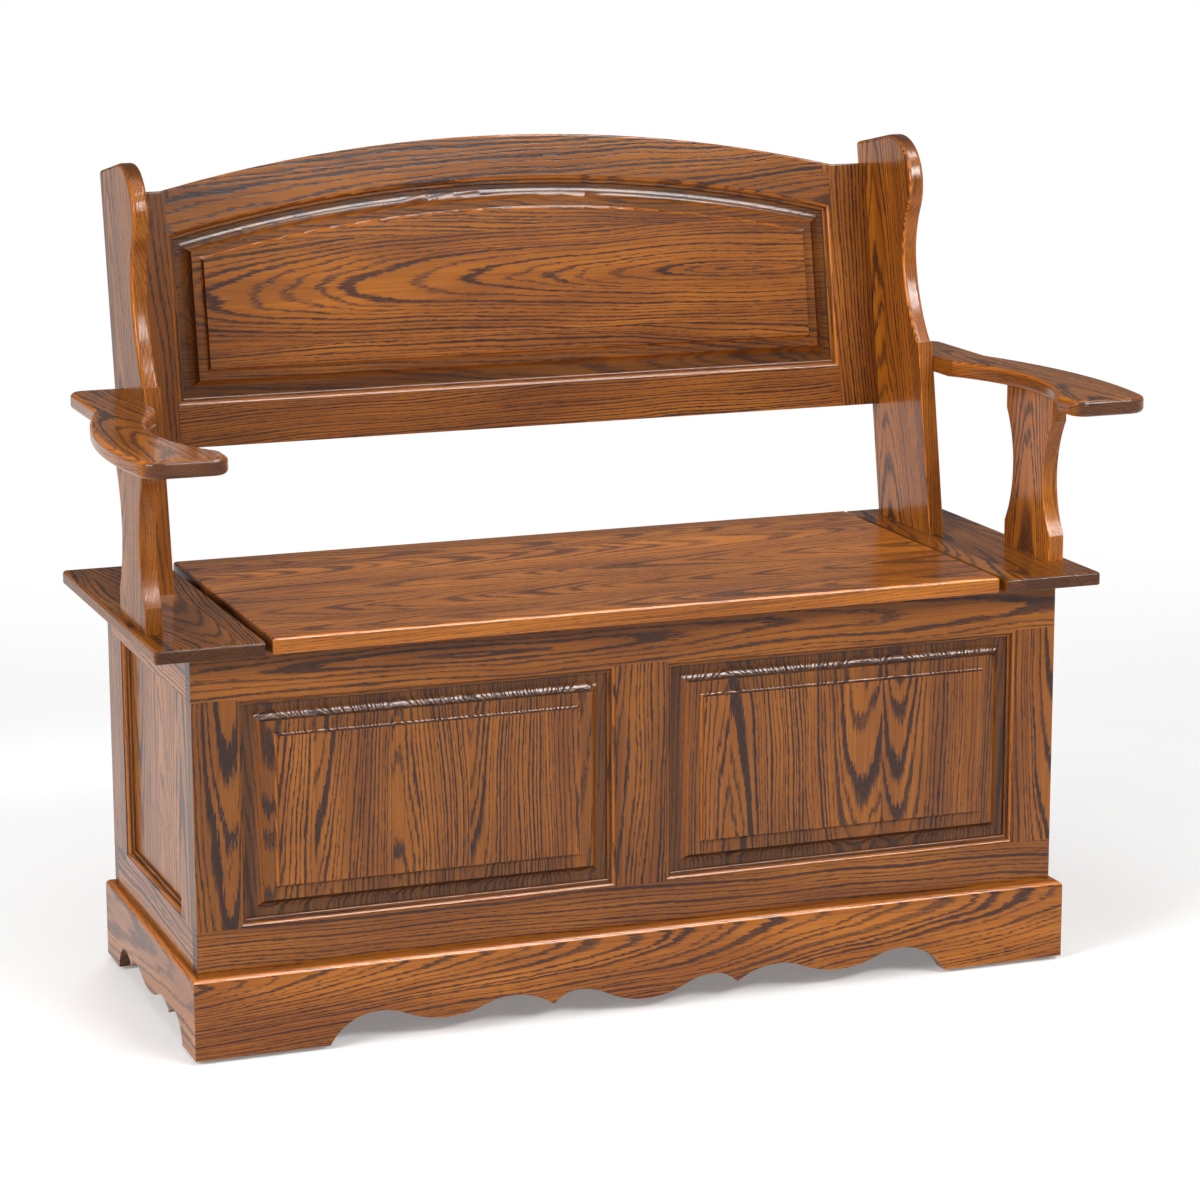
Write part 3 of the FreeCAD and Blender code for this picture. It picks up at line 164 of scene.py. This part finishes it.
# A year's ring: its uneven width, and its early wood in shares of the ring.
SEASON_WAVES = 0.31      # waves per ring
SEASON_SWING = 1.9       # rings
EARLY_LEAST = 0.26
EARLY_SPREAD = 0.30
EARLY_RISE = 0.09
EARLY_TAIL = 0.10
FIBRE_RAGGED = 0.85      # how far fibres break out of a band

# The bare surface.
WOOD_ROUGHNESS = 0.38
EARLY_ROUGHER = 0.10
PORE_ROUGHER = 0.16
GRAIN_RELIEF = 0.00007   # metres

# The lacquer on the oak.
USUAL_COAT = 0.6
COAT_ROUGHNESS = 0.14
COAT_IOR = 1.46
BARE_SPECULAR = 0.06     # of the stained wood under it

# What a board can ask of the oak, with the usual values. Lengths are in metres.
OAK_USUAL = {
    "Seed": 0.0,      # which cut of the tree it is
    "Front": 0.0,     # how deep the board's foremost face lies
    "Sunk": 0.0,      # how much darker its sunk mouldings are, by stain and painted shade
    "Strip": 0.09,    # width of a glued strip
    "Heart": 0.03,    # the tree's heart lies once to twice this in front of the board's middle
    "Drift": 0.05,    # spread of the strips' hearts sideways
    "Slope": 0.05,    # how steeply the heart runs to or from the board along the grain
    "Ring": 0.0045,   # width of a year's ring
    "Wander": 1.0,
    "Tone": 1.0,
    "Contrast": 1.0,
    "Furrow": 1.0,    # how much deeper the grain is where a face turns across it
}
WHOLE = 1.0  # a strip wider than any board: the board is one piece


def make_oak_group():
    """Oak as a solid body of wood, in the board's own frame.

    x runs across the board, y into it and z along the grain, in metres. Boards wider
    than a strip are glued up, and each strip has a heart and a tone of its own.
    """
    group = bpy.data.node_groups.new("oak_figure", "ShaderNodeTree")
    face = group.interface
    for name in ("Board", "Facing"):
        face.new_socket(name, in_out="INPUT", socket_type="NodeSocketVector")
    for name, usual in OAK_USUAL.items():
        socket = face.new_socket(name, in_out="INPUT", socket_type="NodeSocketFloat")
        socket.default_value = usual
    for name, kind in (("Color", "Color"), ("Roughness", "Float"),
                       ("Normal", "Vector"), ("Lacquer Normal", "Vector")):
        face.new_socket(name, in_out="OUTPUT", socket_type=f"NodeSocket{kind}")
    t = Tree(group)
    inputs = t.node("NodeGroupInput").outputs
    seed, strip, ring = inputs["Seed"], inputs["Strip"], inputs["Ring"]
    across, deep, along = t.split(inputs["Board"])
    facing = t.split(inputs["Facing"])
    side_on, front_on, end_on = (t.math("ABSOLUTE", part) for part in facing)

    # End grain drinks the stain and goes dark, rounded edges are rubbed to honey and lightened as a
    # painted edge highlight, and the faces of sunk mouldings that look forwards are darkened by
    # stain and painted shade.
    end_grain = t.ramp(end_on, 0.22, 0.92)
    squarest = t.math("MAXIMUM", t.math("MAXIMUM", side_on, front_on), end_on)
    rounded = t.ramp(squarest, 0.985, 0.86)
    forwards = t.ramp(facing[1], 0.35, -0.1)
    sunk = t.ramp(t.minus(deep, inputs["Front"]), SUNK_FROM, SUNK_BY)
    sunk = t.times(t.times(sunk, inputs["Sunk"]), forwards)

    # The strip, and where its heart lies.
    place = t.math("DIVIDE", across, strip)
    number = t.math("FLOOR", t.plus(place, 0.5))
    strip_x = t.times(t.minus(place, number), strip)
    strip_tone, luck = t.chance(t.point(number, seed, 0.37))
    centre_x = t.minus(strip_x, t.times(t.minus(luck[0], 0.5), inputs["Drift"]))
    way = t.math("SIGN", t.minus(luck[2], 0.5))
    tilt = t.times(t.times(t.times_plus(luck[1], 0.6, 0.6), inputs["Slope"]), way)
    heart_depth = t.plus(t.times(luck[1], inputs["Heart"]), inputs["Heart"])

    # Slow wander of the tree, the same on every face of the board.
    shift = t.times_plus(number, STRIP_SHIFT, t.times(seed, SEED_SHIFT))
    slow = t.point(t.times(across, SLOW_ACROSS), t.times(deep, SLOW_ACROSS),
                   t.times_plus(along, SLOW_ALONG, shift))
    slow = t.split(t.noise(slow, rough=0.45, colour=True))
    wander = t.times(inputs["Wander"], TREE_WANDER)
    x = t.times_plus(t.minus(slow[0], 0.5), wander, centre_x)
    y = t.plus(t.plus(deep, heart_depth), t.times(tilt, along))
    y = t.times_plus(t.minus(slow[1], 0.5), t.times(wander, 0.4), y)
    radius = t.math("SQRT", t.plus(t.times(x, x), t.times(y, y)))

    shifted = t.plus(along, shift)

    def drawn_out(across_grain, along_grain, detail=2.0, rough=0.5):
        """Noise drawn out along the grain, by its waves per metre each way."""
        return t.noise(t.point(t.times(across, across_grain), t.times(deep, across_grain),
                               t.times(shifted, along_grain)), detail=detail, rough=rough)

    # Smaller waves, and the ragged fibres at the edge of each ring.
    ripple = drawn_out(across_grain=70.0, along_grain=9.0)
    fibre = drawn_out(across_grain=620.0, along_grain=55.0, detail=3.0, rough=0.65)
    radius = t.times_plus(ripple, ring, radius)
    radius = t.times_plus(fibre, t.times(ring, FIBRE_RAGGED), radius)

    # Rings of uneven width, each starting with a dark band of early wood.
    rings = t.math("DIVIDE", radius, ring)
    season = t.node("ShaderNodeTexNoise", noise_dimensions="1D")
    t.join(t.times_plus(rings, SEASON_WAVES, shift), season.inputs["W"])
    season.inputs["Scale"].default_value = 1.0
    season.inputs["Detail"].default_value = 2.0
    rings = t.times_plus(season.outputs["Fac"], SEASON_SWING, rings)
    year = t.math("FLOOR", rings)
    phase = t.math("FRACT", rings)
    year_luck, year_more = t.chance(t.point(year, seed, number))
    reach = t.times_plus(year_luck, EARLY_SPREAD, EARLY_LEAST)
    rise = t.ramp(phase, 0.0, EARLY_RISE)
    fall = t.ramp(phase, t.times(reach, 0.7), t.plus(reach, EARLY_TAIL), to_low=1.0, to_high=0.0)
    early = t.times(rise, fall)
    weight = t.times_plus(year_more[0], 0.45, 0.62)
    patchy = drawn_out(across_grain=45.0, along_grain=14.0)
    weight = t.times_plus(patchy, 0.8, weight)

    # Pores: short dark strokes along the grain, crowded in the early wood.
    strokes = drawn_out(across_grain=1500.0, along_grain=110.0, rough=0.6)
    weight = t.times_plus(strokes, 1.1, weight)
    threshold = t.times_plus(early, -0.12, 0.15)
    pore = t.ramp(strokes, threshold, t.plus(threshold, 0.09))

    # The band as it shows, fainter in mouldings and on narrow edges.
    band = t.times(t.times(early, weight, clamp=True), inputs["Contrast"])
    band = t.times(band, t.times_plus(sunk, -SUNK_FAINTER, 1.0))
    band = t.times(band, t.times_plus(t.ramp(side_on, 0.2, 0.8), -EDGE_FAINTER, 1.0))

    # Colour: streaks and clouds of stain, rubbed edges with a painted edge highlight, bands, pores
    # and end grain.
    streak = drawn_out(across_grain=420.0, along_grain=7.0, rough=0.6)
    cloud = drawn_out(across_grain=22.0, along_grain=3.4)
    stain = t.ramp(t.plus(cloud, t.times(streak, 0.8)), -0.22, 0.22, smooth=False)
    late = t.mix(stain, LATE_DEEP, LATE_WOOD)
    # Rounded edges lighter: rubbed wear and a painted edge highlight, less on end grain.
    rubbed_and_highlight = t.minus(RUBBED_AND_HIGHLIGHT_SHARE, t.times(end_grain, RUBBED_AND_HIGHLIGHT_SHARE))
    late = t.mix(t.times(rounded, rubbed_and_highlight), late, RUBBED_AND_HIGHLIGHT)
    base = t.mix(t.times(band, EARLY_SHARE, clamp=True), late, EARLY_WOOD)
    pores = t.times(pore, t.times(inputs["Contrast"], PORE_SHARE), clamp=True)
    base = t.mix(pores, base, PORE)
    base = t.mix(t.times(end_grain, END_GRAIN_SHARE), base, END_GRAIN)

    # Brightness, from the strip, the clouds and the board.
    tone = t.times_plus(t.minus(strip_tone, 0.5), STRIP_TONES, 1.0)
    tone = t.times_plus(cloud, CLOUD_TONES, tone)
    tone = t.times(tone, inputs["Tone"])
    # Sunk mouldings darker: stain and painted shade.
    tone = t.times(tone, t.times_plus(sunk, -SUNK_STAIN_AND_SHADE, 1.0))
    colour = t.mix(1.0, base, t.point(tone, tone, tone), "MULTIPLY")

    # Open grain is rougher and lies lower, most where a cove cuts across it. On plain
    # faces the lacquer fills all but a fifth of that relief.
    rough = t.times_plus(band, EARLY_ROUGHER, WOOD_ROUGHNESS)
    rough = t.times_plus(pore, PORE_ROUGHER, rough)
    height = t.times_plus(band, -0.6, t.times(pore, -0.9))
    height = t.times_plus(streak, 0.35, height)
    furrow = t.times(t.ramp(end_on, 0.03, 0.4), inputs["Furrow"])
    height = t.times(height, t.plus(furrow, 1.0))
    film = t.times(height, t.plus(t.math("MINIMUM", furrow, 0.8), 0.2))

    outputs = t.node("NodeGroupOutput").inputs
    t.join(colour, outputs["Color"])
    t.join(rough, outputs["Roughness"])
    t.join(t.bump(height, GRAIN_RELIEF), outputs["Normal"])
    t.join(t.bump(film, GRAIN_RELIEF), outputs["Lacquer Normal"])
    return group


OAK = make_oak_group()
RECLINE = math.radians(10)  # of the back and the posts

# How a board lies: its across, deep and along, as rows over the bench's x, y and z.
# Deep runs into the board from the face that shows, and upwards in a flat board. The
# grain of a flat_deep board runs from front to back.
AXES = {
    "upright": ((1, 0, 0), (0, 1, 0), (0, 0, 1)),
    "level": ((0, 0, 1), (0, 1, 0), (-1, 0, 0)),
    "rear_upright": ((-1, 0, 0), (0, -1, 0), (0, 0, 1)),
    "rear_level": ((0, 0, 1), (0, -1, 0), (1, 0, 0)),
    "left_upright": ((0, -1, 0), (1, 0, 0), (0, 0, 1)),
    "left_level": ((0, 0, 1), (1, 0, 0), (0, 1, 0)),
    "right_upright": ((0, 1, 0), (-1, 0, 0), (0, 0, 1)),
    "right_level": ((0, 0, -1), (-1, 0, 0), (0, 1, 0)),
    "flat": ((0, 1, 0), (0, 0, 1), (1, 0, 0)),
    "flat_deep": ((1, 0, 0), (0, 0, 1), (0, -1, 0)),
}


def new_material(name):
    material = bpy.data.materials.new(name)
    material.use_nodes = True
    material.node_tree.nodes.clear()
    return material, Tree(material.node_tree)


def principled(name):
    material, t = new_material(name)
    shader = t.node("ShaderNodeBsdfPrincipled")
    t.join(shader.outputs[0], t.node("ShaderNodeOutputMaterial").inputs["Surface"])
    return material, t, shader


def dress(names, material):
    for name in names.split():
        slots = nodes[name].data.materials
        slots.clear()
        slots.append(material)


def board(name, lie, seed, lean=False, coat=USUAL_COAT, **figure):
    """Gives a node its own cut of oak. Lean is for boards that recline with the back."""
    low, high = (Vector(corner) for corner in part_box(name))
    middle = (low + high) / 2
    turn = Matrix(AXES[lie])
    if lean:
        turn = turn @ Matrix.Rotation(RECLINE, 3, "X")
    foremost = min((turn @ (vertex.co - middle)).y for vertex in nodes[name].data.vertices)
    material, t, shader = principled(f"oak {name.replace('_', ' ')}")
    coordinates = t.node("ShaderNodeTexCoord").outputs
    place = t.node("ShaderNodeMapping", vector_type="POINT")
    place.inputs["Rotation"].default_value = turn.to_euler("XYZ")
    place.inputs["Location"].default_value = -(turn @ middle)
    t.join(coordinates["Object"], place.inputs["Vector"])
    facing = t.node("ShaderNodeMapping", vector_type="VECTOR")
    facing.inputs["Rotation"].default_value = turn.to_euler("XYZ")
    t.join(coordinates["Normal"], facing.inputs["Vector"])
    oak = t.node("ShaderNodeGroup")
    oak.node_tree = OAK
    t.join(place.outputs[0], oak.inputs["Board"])
    t.join(facing.outputs[0], oak.inputs["Facing"])
    for key, value in {"Seed": seed, "Front": foremost, **figure}.items():
        oak.inputs[key].default_value = value
    t.join(oak.outputs["Color"], shader.inputs["Base Color"])
    t.join(oak.outputs["Roughness"], shader.inputs["Roughness"])
    t.join(oak.outputs["Normal"], shader.inputs["Normal"])
    t.join(oak.outputs["Lacquer Normal"], shader.inputs["Coat Normal"])
    shader.inputs["Specular IOR Level"].default_value = BARE_SPECULAR
    shader.inputs["Coat Weight"].default_value = coat
    shader.inputs["Coat Roughness"].default_value = COAT_ROUGHNESS
    shader.inputs["Coat IOR"].default_value = COAT_IOR
    dress(name, material)


FRAME = {"Strip": WHOLE, "Sunk": 0.8}
PLAIN_FRAME = {"Strip": WHOLE, "Drift": 0.14}
RAISED = {"Drift": 0.13, "Ring": 0.0036, "Sunk": 0.9, "Contrast": 1.15, "Furrow": 16.0}
SKIRT = {"Strip": WHOLE, "Heart": 0.04, "Drift": 0.12, "Ring": 0.0075}
POST = {"lean": True, "Strip": WHOLE, "Heart": 0.07, "Drift": 0.10, "Ring": 0.0026, "Tone": 1.05}
ARM = {"Strip": WHOLE, "Heart": 0.05, "Drift": 0.10, "Ring": 0.003}
SUPPORT = {"Strip": WHOLE, "Heart": 0.06, "Drift": 0.10, "Ring": 0.0026}
INSIDE = {"coat": 0.0, "Tone": 1.8, "Contrast": 0.5}

# Chest, front.
board("front_top_rail", "level", 1.0, **FRAME, Heart=0.016, Ring=0.0062, Slope=0.06,
      Wander=0.9, Tone=0.86)
board("front_bottom_rail", "level", 2.0, **FRAME, Heart=0.04, Drift=0.2, Ring=0.0042, Slope=0.09)
for side, seed, drift, ring, tone in (
    ("left", 3.0, 0.12, 0.0042, 0.66),
    ("centre", 4.0, 0.10, 0.0036, 0.82),
    ("right", 5.0, 0.12, 0.0046, 0.81),
):
    board(f"front_stile_{side}", "upright", seed, **FRAME, Drift=drift, Ring=ring, Tone=tone,
          Contrast=1.2)
board("front_panel_left", "upright", 6.0, coat=0.62, **RAISED, Strip=0.092, Tone=0.87)
board("front_panel_right", "upright", 7.0, coat=0.62, **RAISED, Strip=0.098, Tone=0.83)

# Chest, sides and back.
for number, side in enumerate(("left", "right")):
    for piece, lie, seed in (
        ("top_rail", "level", 10.0),
        ("bottom_rail", "level", 12.0),
        ("front_stile", "upright", 14.0),
        ("back_stile", "upright", 16.0),
    ):
        board(f"{side}_side_{piece}", f"{side}_{lie}", seed + number, **PLAIN_FRAME, Sunk=0.8)
    board(f"{side}_side_panel", f"{side}_upright", 18.0 + number)
    board(f"rear_stile_{side}", "rear_upright", 20.0 + number, **PLAIN_FRAME)
board("rear_top_rail", "rear_level", 22.0, **PLAIN_FRAME)
board("rear_bottom_rail", "rear_level", 23.0, **PLAIN_FRAME)
board("rear_panel", "rear_upright", 24.0, Strip=0.1)

# Plinth.
board("skirt_front", "level", 30.0, Strip=WHOLE, Heart=0.045, Drift=0.24, Ring=0.0036,
      Slope=0.09, Tone=1.05)
board("skirt_back", "rear_level", 31.0, **SKIRT)
board("skirt_left", "left_level", 32.0, **SKIRT, Tone=1.15)
board("skirt_right", "right_level", 33.0, **SKIRT, Tone=1.05)

# Seat.
# The lid's tone of 1.45 is partly lighter wood and partly painted light, its top lighter as under
# light from above.
board("lid", "flat", 40.0, Heart=0.04, Ring=0.0034, Tone=1.45, Contrast=0.85)
board("seat_end_left", "flat_deep", 41.0, coat=0.4, Strip=0.075, Ring=0.0034, Tone=0.66)
board("seat_end_right", "flat_deep", 42.0, Strip=0.075, Ring=0.0034, Tone=0.9)

# Back, posts and arms.
board("back_panel", "level", 50.0, lean=True, coat=0.45, Strip=0.125, Heart=0.02, Ring=0.0042,
      Slope=0.07, Sunk=0.9)
board("back_bottom_rail", "level", 51.0, lean=True, **FRAME, Heart=0.05, Drift=0.24, Ring=0.003)
board("back_top_rail", "level", 52.0, lean=True, **FRAME, Heart=0.05, Drift=0.12, Ring=0.005,
      Slope=0.08, Tone=0.97, Contrast=1.2)
board("back_stile_left", "upright", 53.0, lean=True, **FRAME, Drift=0.14, Tone=0.78)
board("back_stile_right", "upright", 54.0, lean=True, **FRAME, Drift=0.14, Tone=1.08)
board("post_left", "left_upright", 55.0, coat=0.35, **POST)
board("post_right", "right_upright", 56.0, **POST)
board("arm_left", "flat_deep", 57.0, **ARM, Tone=1.1)
board("arm_right", "flat_deep", 58.0, **ARM)
board("arm_support_left", "left_upright", 59.0, coat=0.4, **SUPPORT)
board("arm_support_right", "right_upright", 60.0, **SUPPORT, Tone=1.3)

# Bare oak inside the chest.
for piece, lie, seed, strip in (
    ("chest_floor", "flat", 70.0, 0.1),
    ("plinth_ledgers_long", "flat", 71.0, WHOLE),
    ("plinth_ledgers_short", "flat_deep", 72.0, WHOLE),
    ("corner_blocks", "upright", 73.0, WHOLE),
    ("seat_cleat_left", "flat_deep", 74.0, WHOLE),
    ("seat_cleat_right", "flat_deep", 75.0, WHOLE),
    ("dowels", "level", 76.0, WHOLE),
):
    board(piece, lie, seed, **INSIDE, Strip=strip)


SCRATCH_WAVES = (60.0, 2600.0, 2600.0)  # per metre, over the bench's x, y and z


def metal(name, names, colour, dark, rough):
    """Worn metal with fine scratches along the bench and a few dull spots."""
    material, t, shader = principled(name)
    place = t.node("ShaderNodeTexCoord").outputs["Object"]
    spots = t.noise(place, scale=220.0, detail=4.0, rough=0.6)
    drawn = (t.times(part, waves) for part, waves in zip(t.split(place), SCRATCH_WAVES))
    scratches = t.noise(t.point(*drawn))
    t.join(t.mix(t.ramp(spots, -0.1, 0.22), colour, dark), shader.inputs["Base Color"])
    t.join(t.times_plus(t.plus(spots, scratches), 0.3, rough), shader.inputs["Roughness"])
    t.join(t.bump(scratches, distance=0.00002), shader.inputs["Normal"])
    shader.inputs["Metallic"].default_value = 1.0
    dress(names, material)


metal("old brass",
      "hinge_chest_leaf_left hinge_lid_leaf_left hinge_pin_left hinge_screws_chest "
      "hinge_chest_leaf_right hinge_lid_leaf_right hinge_pin_right hinge_screws_lid",
      colour=srgb(196, 158, 88), dark=srgb(120, 88, 44), rough=0.34)
metal("zinc plated steel", "post_screws seat_end_screws",
      colour=srgb(172, 172, 174), dark=srgb(120, 120, 124), rough=0.32)


def dress_glides():
    """Dark moulded glides with a fine grain."""
    material, t, shader = principled("dark glide")
    place = t.node("ShaderNodeTexCoord").outputs["Object"]
    grains = t.noise(place, scale=900.0, detail=3.0, rough=0.6)
    colour = t.mix(t.ramp(grains, -0.2, 0.2), srgb(38, 34, 31), srgb(64, 58, 52))
    t.join(colour, shader.inputs["Base Color"])
    t.join(t.times_plus(grains, 0.2, 0.62), shader.inputs["Roughness"])
    t.join(t.bump(grains, distance=0.00005), shader.inputs["Normal"])
    dress("floor_glides", material)


dress_glides()

# The floor is a pale grey near the bench, with a little glow of its own, and goes over
# to plain white further out.
FLOOR_REACH = 60.0
FLOOR_GREY = (0.86, 0.86, 0.86, 1.0)
FLOOR_GLOW = 0.22
WHITE_FROM = 1.2
WHITE_BY = 2.8
WHITE = (1.0, 1.0, 1.0, 1.0)


def make_floor():
    mesh = bpy.data.meshes.new("studio_floor")
    work = bmesh.new()
    bmesh.ops.create_grid(work, x_segments=1, y_segments=1, size=FLOOR_REACH)
    work.to_mesh(mesh)
    work.free()
    floor = bpy.data.objects.new("studio_floor", mesh)
    scene.collection.objects.link(floor)
    material, t = new_material("pale floor")
    matte = t.node("ShaderNodeBsdfDiffuse")
    matte.inputs["Color"].default_value = FLOOR_GREY
    # Only the camera and mirrors see the glow and the white, so they light nothing.
    rays = t.node("ShaderNodeLightPath").outputs
    seen = t.math("MAXIMUM", rays["Is Camera Ray"], rays["Is Glossy Ray"])
    seen = t.math("MAXIMUM", seen, rays["Is Transmission Ray"])
    glow = t.node("ShaderNodeEmission")
    glow.inputs["Color"].default_value = WHITE
    t.join(t.times(seen, FLOOR_GLOW), glow.inputs["Strength"])
    near = t.node("ShaderNodeAddShader")
    t.feed((matte.outputs[0], glow.outputs[0]), near.inputs)
    white = t.node("ShaderNodeEmission")
    white.inputs["Color"].default_value = WHITE
    t.join(seen, white.inputs["Strength"])
    distance = t.node("ShaderNodeVectorMath", operation="LENGTH")
    t.join(t.node("ShaderNodeTexCoord").outputs["Object"], distance.inputs[0])
    out_there = t.ramp(distance.outputs["Value"], WHITE_FROM, WHITE_BY)
    both = t.node("ShaderNodeMixShader")
    t.feed((out_there, near.outputs[0], white.outputs[0]), both.inputs)
    t.join(both.outputs[0], t.node("ShaderNodeOutputMaterial").inputs["Surface"])
    mesh.materials.append(material)


make_floor()

BENCH_MIDDLE = (0, 0, 0.5)
BENCH_FRONT = (0, -0.1, 0.5)
WORLD_LEVEL = 0.22


def lamp(name, at, to, size, power, lights=True, mirrors=True):
    """A softbox. With lights off it only shows in the lacquer, and with mirrors off it
    only lights."""
    data = bpy.data.lights.new(name, "AREA")
    data.shape = "RECTANGLE"
    data.size, data.size_y = size
    data.energy = power
    made = bpy.data.objects.new(name, data)
    made.location = at
    made.rotation_euler = (Vector(to) - Vector(at)).to_track_quat("-Z", "Y").to_euler()
    made.visible_diffuse = lights
    made.visible_glossy = mirrors
    scene.collection.objects.link(made)


def make_world():
    world = bpy.data.worlds.new("studio")
    scene.world = world
    world.use_nodes = True
    world.node_tree.nodes.clear()
    t = Tree(world.node_tree)
    background = t.node("ShaderNodeBackground")
    background.inputs["Strength"].default_value = WORLD_LEVEL
    t.join(background.outputs[0], t.node("ShaderNodeOutputWorld").inputs["Surface"])


lamp("front softbox", (1.04, -2.4, 2.1), BENCH_FRONT, size=(1.8, 0.42), power=54)
lamp("left softbox", (-3.2, -1.5, 2.0), BENCH_MIDDLE, size=(1.6, 1.6), power=100)
lamp("overhead softbox", (-0.6, -0.2, 3.2), BENCH_MIDDLE, size=(1.6, 1.6), power=24)
lamp("rear softbox", (0.9, 3.8, 2.3), BENCH_MIDDLE, size=(1.8, 1.8), power=60, mirrors=False)
lamp("front gloss panel", (1.04, -2.3, 2.5), BENCH_FRONT, size=(1.9, 0.55), power=105, lights=False)
lamp("upper gloss panel", (0.9, -0.9, 3.0), BENCH_FRONT, size=(1.9, 0.6), power=90, lights=False)
lamp("right softbox", (3.4, -1.2, 2.0), BENCH_MIDDLE, size=(1.4, 1.4), power=16)
make_world()

CAMERA_AT = Vector((-1.49072, -4.042114, 1.39025))
AZIMUTH = math.radians(-20.532)
DOWN = math.radians(12.33)
ROLL = math.radians(-0.155)
VIEW_ANGLE = math.radians(18.53)
SENSOR_WIDTH = 36.0
FARTHEST = 200.0


def make_camera():
    data = bpy.data.cameras.new("camera")
    data.sensor_width = SENSOR_WIDTH
    data.lens = SENSOR_WIDTH / 2 / math.tan(VIEW_ANGLE / 2)
    data.clip_end = FARTHEST
    camera = bpy.data.objects.new("camera", data)
    forward = Vector((-math.sin(AZIMUTH) * math.cos(DOWN), math.cos(AZIMUTH) * math.cos(DOWN),
                      -math.sin(DOWN)))
    right = Vector((math.cos(AZIMUTH), math.sin(AZIMUTH), 0.0))
    up = right.cross(forward)
    turned = right * math.cos(ROLL) + up * math.sin(ROLL)
    lifted = up * math.cos(ROLL) - right * math.sin(ROLL)
    turn = Matrix((turned, lifted, -forward)).transposed()
    camera.matrix_world = Matrix.Translation(CAMERA_AT) @ turn.to_4x4()
    scene.collection.objects.link(camera)
    scene.camera = camera


make_camera()
scene.view_settings.view_transform = "Standard"
